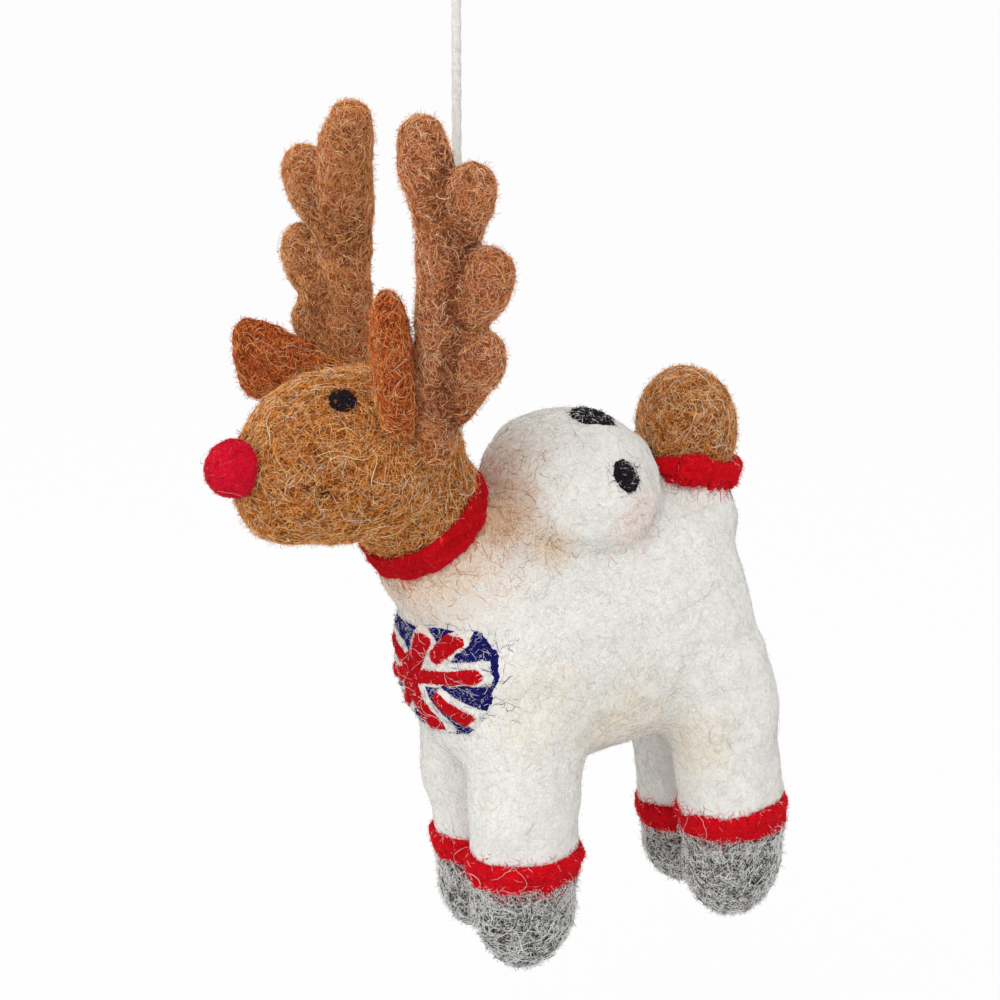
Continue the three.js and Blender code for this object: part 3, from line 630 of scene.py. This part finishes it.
def nearness(points, target, reach):
    """From 1 at the target to nearly nothing at two reaches from it, in millimetres."""
    if isinstance(target[0], list):
        return nearness(points, target[0], reach) * nearness(points, target[1], reach)
    if isinstance(target, list):
        tree = tree_of(*node_meshes(target))
        distance = np.array([tree.find_nearest(point)[3] for point in points.tolist()])
    else:
        folded = np.abs(points) * (1, 0, 0) + points * (0, 1, 1)
        distance = np.linalg.norm(folded - np.array(target) * MM, axis=1)
    return np.exp(-((distance / (reach * MM)) ** 2))


def neighbours_mean(mesh):
    """A function that gives, for each vertex, the mean of its neighbours."""
    a, b = rows_of(mesh.edges, "vertices", 2, int).T
    count = len(mesh.vertices)
    degree = np.maximum(np.bincount(a, minlength=count) + np.bincount(b, minlength=count), 1)

    def mean(points):
        sums = [np.bincount(a, points[b, k], count) + np.bincount(b, points[a, k], count) for k in range(3)]
        return np.stack(sums, 1) / degree[:, None]

    return mean


def remesh(piece, voxel):
    """Makes one skin of forms that meet."""
    weld = piece.modifiers.new("weld", "WELD")
    weld.merge_threshold = WELD_DISTANCE
    voxels = piece.modifiers.new("remesh", "REMESH")
    voxels.mode = "VOXEL"
    voxels.voxel_size = voxel
    voxels.use_smooth_shade = True
    made = bpy.data.meshes.new_from_object(piece.evaluated_get(bpy.context.evaluated_depsgraph_get()))
    piece.modifiers.clear()
    piece.data = made


def fill_creases(mesh, rounds, clear):
    """Wool packed into the creases where two forms meet: only hollows move, only outward, and none of them
    near the nodes that are to stay clear of it."""
    mean = neighbours_mean(mesh)
    share = 1 - nearness(points_of(mesh), clear, CLEARANCE) if clear else 1
    for _ in range(rounds):
        points, normals = points_of(mesh), normals_of(mesh)
        hollow = ((mean(points) - points) * normals).sum(1).clip(min=0) * share
        set_points(mesh, points + normals * hollow[:, None])


def volume_and_area(mesh):
    points, triangles = points_of(mesh), triangles_of(mesh)
    a, b, c = (points[triangles[:, k]] for k in range(3))
    return (a * np.cross(b, c)).sum() / 6, np.linalg.norm(np.cross(b - a, c - a), axis=1).sum() / 2


def soften(mesh, rounds):
    """Rounds of smoothing, after which the form swells evenly back to its volume."""
    before, _ = volume_and_area(mesh)
    mean = neighbours_mean(mesh)
    points = points_of(mesh)
    for _ in range(rounds):
        points += SOFTENING * (mean(points) - points)
    set_points(mesh, points)
    after, area = volume_and_area(mesh)
    push(mesh, (before - after) / area)


def lump(mesh, height, size, seed):
    """Uneven felting: the surface goes in and out by about that height, in dents of about that size."""
    offset = Vector([seed * part for part in LUMPS_STEP])
    pushed = []
    for point in points_of(mesh):
        coarse = noise.noise(Vector(point) / size + offset)
        fine = noise.noise(Vector(point) * FINE_LUMPS / size + offset)
        pushed.append(coarse + FINE_LUMPS_SHARE * fine)
    push(mesh, height * np.array(pushed))


def roots_on(surface, count, random):
    """Places spread evenly over a surface, with its normals there."""
    points, triangles = points_of(surface), triangles_of(surface)
    a, b, c = (points[triangles[:, k]] for k in range(3))
    across = np.cross(b - a, c - a)
    area = np.linalg.norm(across, axis=1)
    chosen = random.choice(len(area), count, p=area / area.sum())
    u, v = random.random((2, count, 1))
    u, v = np.where(u + v > 1, 1 - u, u), np.where(u + v > 1, 1 - v, v)
    return a[chosen] + u * (b - a)[chosen] + v * (c - a)[chosen], unit(across[chosen])


def lying(tree, root, normal, random, length, rise, steps=LYING_STEPS):
    """Fibres that lie on the felt in gentle curves and arch off it a little."""
    count = len(root)
    aside = unit(np.cross(normal, random.normal(size=(count, 3))))
    ahead = np.cross(normal, aside)
    long = length * random.uniform(*LYING_LENGTHS, count)
    curl = random.normal(0, LYING_CURL, count) / long
    curl = np.where(np.abs(curl) < LEAST_CURL, LEAST_CURL, curl)
    wave = LYING_WAVE * long * random.normal(0, 1, count)
    height = rise * random.random(count) ** 2
    line, facing = np.zeros((count, steps, 3)), np.zeros((count, steps, 3))
    for k in range(steps):
        t = k / (steps - 1)
        s = (t - 0.5) * long
        sideways = (1 - np.cos(curl * s)) / curl + wave * math.sin(2 * math.pi * t)
        flat = root + ahead * (np.sin(curl * s) / curl)[:, None] + aside * sideways[:, None]
        for i, place in enumerate(flat.tolist()):
            line[i, k], facing[i, k], _, _ = tree.find_nearest(place)
        lift = height * math.sin(math.pi * t) - LYING_SUNK * (t in (0, 1))
        line[:, k] += facing[:, k] * lift[:, None]
    return line, facing


def standing(root, normal, random, length):
    """Nap: short fibres that leave the felt and bend over."""
    count = len(root)
    aside = unit(np.cross(normal, random.normal(size=(count, 3))))
    ahead = np.cross(normal, aside)
    long = length * random.uniform(*NAP_LENGTHS, count)
    lean = random.uniform(*NAP_LEANS, count)
    sway = random.normal(0, NAP_SWAY, count)
    line = np.zeros((count, NAP_STEPS, 3))
    for k in range(NAP_STEPS):
        t = k / (NAP_STEPS - 1)
        up = (t - 0.5 * t**2) * long / lean - NAP_SUNK * (t == 0)
        line[:, k] = root + normal * up[:, None] + ahead * (t**NAP_BEND * long * lean * NAP_REACH)[:, None]
        line[:, k] += aside * (sway * long * t**2)[:, None]
    return line, np.repeat(aside[:, None], NAP_STEPS, 1)


def wandering(tree, root, random):
    """Long hairs that curl their way over everything, well off it in places."""
    line, facing = np.zeros((len(root), HAIR_STEPS, 3)), np.zeros((len(root), HAIR_STEPS, 3))
    for i, place in enumerate(root):
        heading = random.normal(size=3)
        bend = random.normal(0, FIRST_BEND)
        loft = random.uniform(*HAIR_RISES)
        step = HAIR_LENGTH * random.uniform(*HAIR_LENGTHS) / HAIR_STEPS
        for k in range(HAIR_STEPS):
            near, normal, _, _ = tree.find_nearest(place)
            near, normal = np.array(near), np.array(normal)
            height = HAIR_RISE * loft * math.sin(math.pi * k / (HAIR_STEPS - 1)) + HAIR_CLEAR
            line[i, k], facing[i, k] = near + normal * height, normal
            heading = unit(heading - normal * (heading @ normal))
            heading = heading * math.cos(bend) + np.cross(normal, heading) * math.sin(bend)
            place = near + heading * step
            bend = BEND_KEPT * bend + random.normal(0, BEND_CHANGE)
    return line, facing


def fibre_mesh(name, line, normals, radius, tone, turn):
    """Three-sided fibres with pointed ends along the lines, in one mesh. At no turn one corner points up."""
    count, steps, _ = line.shape
    along = line[:, 2:] - line[:, :-2]
    aside = unit(np.cross(along, normals[:, 1:-1]))
    up = unit(np.cross(aside, along))
    corners = []
    for j in range(3):
        angle = turn + 2 * math.pi * j / 3
        outward = math.cos(angle) * up + math.sin(angle) * aside
        corners.append(line[:, 1:-1] + radius[:, None, None] * outward)
    rings = np.stack(corners, 2).reshape(count, -1, 3)
    points = np.concatenate([line[:, :1], rings, line[:, -1:]], 1)
    size = points.shape[1]
    faces = []
    for j in range(3):
        following = (j + 1) % 3
        faces.append((0, 1 + following, 1 + j))
        faces.append((size - 1, size - 4 + j, size - 4 + following))
        for ring in range(steps - 3):
            low, high = 1 + 3 * ring, 4 + 3 * ring
            faces.append((low + j, low + following, high + following))
            faces.append((low + j, high + following, high + j))
    triangles = (np.array(faces)[None] + size * np.arange(count)[:, None, None]).reshape(-1, 3)
    used, index = np.unique(tone, return_inverse=True)
    mesh = new_mesh(name, points.reshape(-1, 3), triangles, np.repeat(index, len(faces)))
    for wool in used:
        mesh.materials.append(fibre_wools[wool])
    return mesh


def ride_as(piece, nodes=(), body="reindeer"):
    if nodes:
        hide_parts(*nodes)
    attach(piece, body)


def add_form(
    name, nodes, wool, voxel=0.5, fill=6, rounds=5, grow=-0.05, height=0.25, size=5, brushes=(), under=(),
    clear=(), snug=1,
):
    """A felted form that replaces CAD nodes and covers those under it, drawn in to the snug share of its
    width. Creases near the nodes that stay clear aren't filled. The height and the size are those of its
    lumps, and lengths are in millimetres."""
    points, triangles = joined(node_meshes([*nodes, *under]))
    middle = (points.min(0) + points.max(0)) / 2
    piece = linked(name, new_mesh(name, middle + (points - middle) * (snug, snug, 1), triangles))
    remesh(piece, voxel * MM)
    fill_creases(piece.data, fill, clear)
    soften(piece.data, rounds)
    push(piece.data, grow * MM)
    for target, shift, reach in brushes:
        push(piece.data, nearness(points_of(piece.data), target, reach) * shift * MM)
    lump(piece.data, height * MM, size * MM, len(surfaces))
    piece.data.materials.clear()
    piece.data.materials.append(felts[wool])
    ride_as(piece, nodes)
    surfaces[name] = piece.data


def add_fibres(name, line, facing, thick, tone, turn=0):
    """Pieces of fibres, none of them over the most triangles that a kept mesh holds."""
    most = MOST_TRIANGLES // (6 * (line.shape[1] - 2))
    for part, start in enumerate(range(0, len(line), most)):
        rows = slice(start, start + most)
        mesh = fibre_mesh(f"{name}_{part + 1}", line[rows], facing[rows], thick[rows], tone[rows], turn)
        ride_as(linked(mesh.name, mesh))


def coat(
    name, wool, density, length=2.1, radius=0.031, rise=0.2, nap=5, nap_length=0.75, strays=(), over=(),
    wisp="gold", wisps=0, turn=0,
):
    """Fibres over a form: so many that lie, that stand and that run far on each square millimetre. Lengths
    are in millimetres. The fibres that lie may run on over the other forms."""
    surface = surfaces[name]
    area = sum(polygon.area for polygon in surface.polygons) / MM**2
    tree = tree_of(surface, *(surfaces[other] for other in over))
    random = np.random.default_rng(len(name) * 1000 + int(area))
    for kind, amount in [("fibres", density), ("nap", nap), ("wisps", wisps)]:
        count = int(area * amount)
        if not count:
            continue
        root, normal = roots_on(surface, count, random)
        tone = tones_for(wisp if kind == "wisps" else wool, random, count)
        for other, share, target, reach in strays:
            strayed = random.random(count) < share * nearness(root, target, reach)
            tone = np.where(strayed, tones_for(other, random, count), tone)
        thick = radius * MM * np.exp(random.normal(0, THICKNESS_SPREAD, count)).clip(*THICKNESS_LIMITS)
        if kind == "fibres":
            line, facing = lying(tree, root, normal, random, length * MM, rise * MM)
        elif kind == "wisps":
            line, facing = lying(tree, root, normal, random, WISP_LENGTH, WISP_RISE * rise * MM, WISP_STEPS)
        else:
            line, facing = standing(root, normal, random, nap_length * MM)
            thick *= NAP_THICKNESS
        add_fibres(f"{name}_{kind}", line, facing, thick, tone, turn)


def add_mouth():
    """Dark fibres that lie along the mouth."""
    random = np.random.default_rng(MOUTH_SEED)
    count = sum(MOUTH_FIBRES)
    root = np.repeat(np.array(MOUTH) * MM, MOUTH_FIBRES, 0)
    root = root + random.normal(0, MOUTH_SPREAD * MM, (count, 3))
    tree = tree_of(surfaces["head"])
    normal = np.array([tree.find_nearest(place)[1] for place in root.tolist()])
    line, facing = lying(tree, root, normal, random, MOUTH_LENGTH * MM, MOUTH_LIFT * MM)
    add_fibres(
        "mouth", line + facing * MOUTH_LIFT * MM, facing, np.full(count, MOUTH_RADIUS * MM),
        tones_for("shade", random, count),
    )


def add_hairs():
    """Hairs over the whole animal, but not over its cord."""
    random = np.random.default_rng(HAIR_SEED)
    cords = ["cord", "loop", "knot", "stitch"]
    tree = tree_of(*(mesh for name, mesh in surfaces.items() if name not in cords))
    for name, wool, slot, count in HAIRS:
        root, _ = roots_on(surfaces[name], count, random)
        line, facing = wandering(tree, root, random)
        thick = HAIR_RADIUS * random.uniform(*HAIR_RADII, count)
        add_fibres(f"{name}_hairs", line, facing, thick, tones_for(wool, random, count))


def stroke_inside(strokes, u, v):
    """How far inside the nearest of some round-ended strokes each place is, in millimetres."""
    best = np.full(u.shape, -np.inf)
    for corners, half in strokes:
        for (u0, v0), (u1, v1) in zip(corners, corners[1:]):
            du, dv = u1 - u0, v1 - v0
            t = (((u - u0) * du + (v - v0) * dv) / (du**2 + dv**2)).clip(0, 1)
            best = np.maximum(best, half - np.hypot(u - u0 - t * du, v - v0 - t * dv))
    return best


def flag_inside(u, v):
    """How far inside the flag's outline each place is, in millimetres."""
    best = np.full(u.shape, np.inf)
    for (u0, v0), (u1, v1) in zip(FLAG_OUTLINE, FLAG_OUTLINE[1:] + FLAG_OUTLINE[:1]):
        du, dv = u1 - u0, v1 - v0
        best = np.minimum(best, (dv * (u - u0) - du * (v - v0)) / math.hypot(du, dv))
    return best


def red_inside(u, v):
    return np.minimum(stroke_inside(RED_STROKES, u, v), flag_inside(u, v) - RED_FROM_OUTLINE)


def white_inside(u, v):
    return np.minimum(stroke_inside(WHITE_STROKES, u, v), flag_inside(u, v) - WHITE_FROM_OUTLINE)


def patch_grid(middle, facing, across, half, step):
    """The two places across and up of each point of a grid over a patch, and where its ray starts."""
    across = unit(np.array(across) - facing * (np.array(across) @ facing))
    up = np.cross(facing, across)
    reach_u, reach_v = (side + PATCH_MARGIN for side in half)
    columns, rows = int(2 * reach_u / step) + 1, int(2 * reach_v / step) + 1
    u, v = np.meshgrid(np.linspace(-reach_u, reach_u, columns), np.linspace(-reach_v, reach_v, rows))
    starts = (np.array(middle) + facing * RAY_START + u[..., None] * across + v[..., None] * up) * MM
    return u, v, starts


def grid_hits(tree, starts, way):
    """Where rays meet a form, its normals there, and whether they meet it."""
    place, normal, met = np.zeros(starts.shape), np.zeros(starts.shape), np.zeros(starts.shape[:2], bool)
    for i in np.ndindex(met.shape):
        hit, hit_normal, _, _ = tree.ray_cast(starts[i].tolist(), way.tolist(), RAY_LENGTH * MM)
        if hit is not None:
            place[i], normal[i], met[i] = hit, hit_normal, True
    return place, normal, met


def ragged(u, v, seed):
    """Uneven shifts of a patch's outline."""
    shift = np.zeros(u.shape)
    for i in np.ndindex(u.shape):
        seat = Vector((u[i], v[i], seed))
        shift[i] = sum(share * noise.noise(seat / size) for share, size in RAGGED)
    return shift


def corners_of(grid):
    """The four corners of each cell of a grid, in order round it."""
    return [grid[:-1, :-1], grid[:-1, 1:], grid[1:, 1:], grid[1:, :-1]]


def pad_triangles(quads, count):
    """The triangles of a pad's top, and those of its bottom and its walls. The bottom has the top's grid, and
    its points come after the top's."""
    faces = np.concatenate([quads[:, [0, 1, 2]], quads[:, [0, 2, 3]]])
    edges = np.concatenate([quads[:, [k, (k + 1) % 4]] for k in range(4)])
    keys = edges[:, 0] * count + edges[:, 1]
    rim = edges[~np.isin(keys, edges[:, 1] * count + edges[:, 0])]
    walls = np.concatenate([
        np.stack([rim[:, 1], rim[:, 0], rim[:, 0] + count], 1),
        np.stack([rim[:, 1], rim[:, 0] + count, rim[:, 1] + count], 1),
    ])
    return faces, np.concatenate([faces[:, ::-1] + count, walls])


def used_mesh(name, points, triangles):
    """A mesh of the triangles with only the points that they use."""
    used, packed = np.unique(triangles, return_inverse=True)
    return new_mesh(name, points[used], packed.reshape(-1, 3))


def add_patch(
    name, carrier, middle, facing, across, half, inside, lift, wool, nodes, step, wobble, cover=None,
):
    """Wool felted flat onto a form: a thin closed pad that follows it, highest inside its uneven outline and
    sunk at its edge. Lengths are in millimetres. Its outline is seen along the way that it faces, and its
    fibres grow where no cover is on it."""
    facing = np.array(facing) / np.linalg.norm(facing)
    u, v, starts = patch_grid(middle, facing, across, half, step)
    place, normal, met = grid_hits(tree_of(surfaces[carrier]), starts, -facing)
    depth = inside(u, v) + wobble * ragged(u, v, len(name))
    height = lift * (1 - (1 - (depth / SHOULDER).clip(0, 1)) ** 2) + depth.clip(-EDGE_SINK, 0)
    kept = np.all(corners_of(met), 0) & (np.max(corners_of(depth), 0) > PATCH_END)
    index = np.arange(u.size).reshape(u.shape)
    quads = np.stack([corner[kept] for corner in corners_of(index)], 1)
    top = (place + normal * height[..., None] * MM).reshape(-1, 3)
    low = (place - normal * PATCH_THICKNESS * MM).reshape(-1, 3)
    faces, rest = pad_triangles(quads, u.size)
    piece = linked(name, used_mesh(name, np.concatenate([top, low]), np.concatenate([faces, rest])))
    piece.data.materials.append(felts[wool])
    ride_as(piece, nodes)
    bare = depth > COATED_DEPTH
    if cover:
        bare &= cover(u, v) < COATED_DEPTH
    surfaces[name] = used_mesh(f"{name}_top", top, faces[bare.ravel()[faces].all(1)])


def add_spot(node, carrier, radius, lift, wobble):
    """A round black patch where a small node is."""
    def inside(u, v):
        return (1 - np.sqrt((u / radius) ** 2 + (v / radius) ** 2)) * radius

    low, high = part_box(node)
    middle = (low + high) / 2
    _, facing, _, _ = tree_of(surfaces[carrier]).find_nearest(middle)
    across, half = Vector((0, 0, 1)).cross(facing), (radius, radius)
    add_patch(
        node, carrier, middle / MM, facing, across, half, inside, lift, "black", [node], SPOT_STEP, wobble,
    )


def even_route(points):
    """A smooth line through the points, cut into even steps, and its length up to each of them."""
    points = np.array(points, float)
    padded = np.concatenate([[2 * points[0] - points[1]], points, [2 * points[-1] - points[-2]]])
    line = []
    for a, b, c, d in zip(padded, padded[1:], padded[2:], padded[3:]):
        square, cube = 2 * a - 5 * b + 4 * c - d, 3 * b - a - 3 * c + d
        for t in np.linspace(0, 1, SPLINE_STEPS, endpoint=False):
            line.append(0.5 * (2 * b + (c - a) * t + square * t**2 + cube * t**3))
    line = np.array(line + [points[-1]])
    length = np.concatenate([[0], np.cumsum(np.linalg.norm(np.diff(line, axis=0), axis=1))])
    even = np.linspace(0, length[-1], int(length[-1] / CORD_STEP))
    return np.stack([np.interp(even, length, line[:, k]) for k in range(3)], 1), even


def twisted(name, points, radius):
    """Cord of two strands twisted together, as a closed tube with rounded ends."""
    line, length = even_route(points)
    along = unit(np.gradient(line, axis=0))
    aside = np.zeros(line.shape)
    aside[0] = unit(np.cross(along[0], CORD_ASIDE))
    for i in range(1, len(line)):
        aside[i] = unit(aside[i - 1] - along[i] * (aside[i - 1] @ along[i]))
    other = np.cross(along, aside)
    angle = 2 * math.pi * np.arange(CORD_SIDES) / CORD_SIDES
    turn = 2 * math.pi * length / (2 * STRAND_PITCH)
    swell = 1 - STRAND_DEPTH + STRAND_DEPTH * np.abs(np.cos(angle[None] + turn[:, None]))
    end = np.minimum(length, length[-1] - length) / radius
    swell *= np.sqrt(1 - (1 - end.clip(CORD_END_SHARE, 1)) ** 2)[:, None]
    rings = line[:, None] + radius * swell[..., None] * (
        np.cos(angle)[None, :, None] * aside[:, None] + np.sin(angle)[None, :, None] * other[:, None]
    )
    points = np.concatenate([rings.reshape(-1, 3), line[:1], line[-1:]])
    first, last, count = len(points) - 2, len(points) - 1, len(line)
    faces = []
    for j in range(CORD_SIDES):
        k = (j + 1) % CORD_SIDES
        faces.append((first, k, j))
        faces.append((last, (count - 1) * CORD_SIDES + j, (count - 1) * CORD_SIDES + k))
        for i in range(count - 1):
            low, high = i * CORD_SIDES, (i + 1) * CORD_SIDES
            faces.append((low + j, low + k, high + k))
            faces.append((low + j, high + k, high + j))
    mesh = new_mesh(name, points, np.array(faces))
    mesh.materials.append(felts["cotton"])
    surfaces[name] = mesh
    return linked(name, mesh)


def knot_route():
    """Turns of the cord around its own line, drawn in at both ends."""
    fast, least = KNOT_ENDS
    route = []
    for i in range(KNOT_STEPS + 1):
        share = i / KNOT_STEPS
        reach = KNOT_RADIUS * min(1, fast * share + least, fast * (1 - share) + least)
        angle = 2 * math.pi * KNOT_TURNS * share
        height = KNOT_HEIGHT + (share - 0.5) * KNOT_TALL_MM * MM
        route.append((reach * math.cos(angle), reach * math.sin(angle), height))
    return route


make_camera()
make_world()
make_lamp()
make_floor()
make_wools()

# Cord, loop, knot and stitch
cord = twisted("cord", CORD_ROUTE, CORD_DIAMETER / 2)
ride_as(cord, ["hanging_cord"], "cord")
loop_route = [(x * LOOP_HALF_WIDTH, 0, KNOT_HEIGHT + z * LOOP_TALL) for x, z in LOOP_SHARES]
loop = twisted("loop", loop_route, CORD_DIAMETER / 2)
ride_as(loop, ["hanging_loop"], "loop")
knot = twisted("knot", knot_route(), CORD_DIAMETER / 2)
ride_as(knot, ["loop_knot"], "loop")
stitch = twisted("stitch", [np.array(point) * MM for point in STITCH_ROUTE], STITCH_RADIUS)
ride_as(stitch, ["cord_stitch"])

# Felted forms
add_form(
    "suit", ["torso", "back_pack"] + LEG_NODES, "suit", voxel=0.6, fill=50, rounds=12, grow=0.05,
    height=0.4, size=7, brushes=SUIT_BRUSHES, under=FLAG_NODES, clear=BANDS,
)
add_form("head", ["head"], "fawn", fill=10, rounds=12, grow=-0.15, brushes=HEAD_BRUSHES)
add_form("nose", ["nose"], "nose", voxel=0.35, rounds=14, grow=-0.15, height=0.2, size=3)
add_form("tail", ["tail"], "fawn", brushes=TAIL_BRUSHES)
for band, (wool, grow, snug, _) in BAND_FORMS.items():
    add_form(band, [band], wool, voxel=0.35, grow=grow, size=4, brushes=BAND_BRUSHES[band], snug=snug)
for side in SIDES:
    ear = f"{side}_ear"
    add_form(ear, [ear], "chestnut", voxel=0.4, rounds=4, height=0.35, size=3, brushes=EAR_BRUSHES)
    add_form(
        f"{side}_antler", sum(ANTLERS[side], []), "antler", voxel=0.4, fill=3, grow=-0.1, size=3.5,
        brushes=ANTLER_BRUSHES[side],
    )
for leg in LEGS:
    hoof, hoof_brushes = f"{leg}_hoof", [([f"{leg}_ankle_band"], 0.55, 1.5)]
    add_form(hoof, [hoof], "grey", voxel=0.45, rounds=12, grow=-0.35, brushes=hoof_brushes)

# Eyes, buttons and flag, felted flat onto the forms
for side in SIDES:
    add_spot(f"{side}_eye", "head", EYE_RADIUS, EYE_LIFT, EYE_WOBBLE)
for button, radius in BUTTON_RADII.items():
    add_spot(button, "suit", radius, BUTTON_LIFT, BUTTON_WOBBLE)
for name, inside, cover, lift, wool, nodes in [
    ("flag_blue", flag_inside, white_inside, 0.3, "blue", ["flag_ground"]),
    ("flag_white", white_inside, red_inside, 0.55, "suit", ["flag_white_stripes"]),
    ("flag_red", red_inside, None, 0.85, "red", ["flag_red_cross"] + RED_DIAGONALS),
]:
    add_patch(
        name, "suit", FLAG_MIDDLE, FLAG_FACING, FLAG_ACROSS, FLAG_REACH, inside, lift, wool, nodes,
        PATCH_STEP, FLAG_WOBBLE, cover,
    )

# Loose fibres
coat(
    "suit", "suit", 6, length=2, radius=0.028, rise=0.06, nap=1.2, nap_length=0.5, strays=SUIT_STRAYS,
    over=BANDS + FLAG_PIECES, turn=math.pi / 3,
)
coat("head", "fawn", 10, strays=HEAD_STRAYS, over=["neck_band", "left_ear", "right_ear"], wisps=0.5)
add_mouth()
coat("tail", "fawn", 10, strays=TAIL_STRAYS, over=["tail_band"], wisps=0.6)
coat("nose", "nose", 5, length=1.6, nap=3, nap_length=0.5)
for band, (wool, _, _, over) in BAND_FORMS.items():
    coat(band, wool, 6, length=1.8, nap_length=0.6, strays=BAND_STRAYS, over=over)
for side in SIDES:
    coat(f"{side}_antler", "antler", 10, strays=ANTLER_STRAYS[side], over=["head"], wisp="amber", wisps=0.3)
    coat(f"{side}_ear", "chestnut", 10, strays=EAR_STRAYS, over=["head"], wisp="amber", wisps=0.3)
    coat(f"{side}_eye", "black", 8, length=1.2, nap=6, nap_length=0.5, strays=EYE_STRAYS, over=["head"])
for leg in LEGS:
    ankle = [f"{leg}_ankle_band"]
    # red strays from the ankle band, in its lighter copy of the red wool, which paints light on it
    hoof_strays = [("painted_lit_red", 0.3, ankle, 0.8), ("suit", 0.42, ankle, 4)]
    coat(f"{leg}_hoof", "grey", 6.5, radius=0.035, strays=hoof_strays, over=ankle, wisp="suit", wisps=0.8)
for button in BUTTON_RADII:
    coat(
        button, "black", 8, length=1.5, radius=0.036, nap=6, nap_length=0.6, strays=BUTTON_STRAYS,
        over=["suit"],
    )
for name, wool, other, share in [
    ("flag_blue", "blue", "suit", 0.22), ("flag_white", "suit", "blue", 0.05),
    ("flag_red", "red", "suit", 0.04),
]:
    flag_strays = [(other, share, ["torso"], EVERYWHERE)]
    coat(name, wool, 9, length=1.6, nap_length=0.5, strays=flag_strays, over=["suit"] + FLAG_PIECES)
add_hairs()
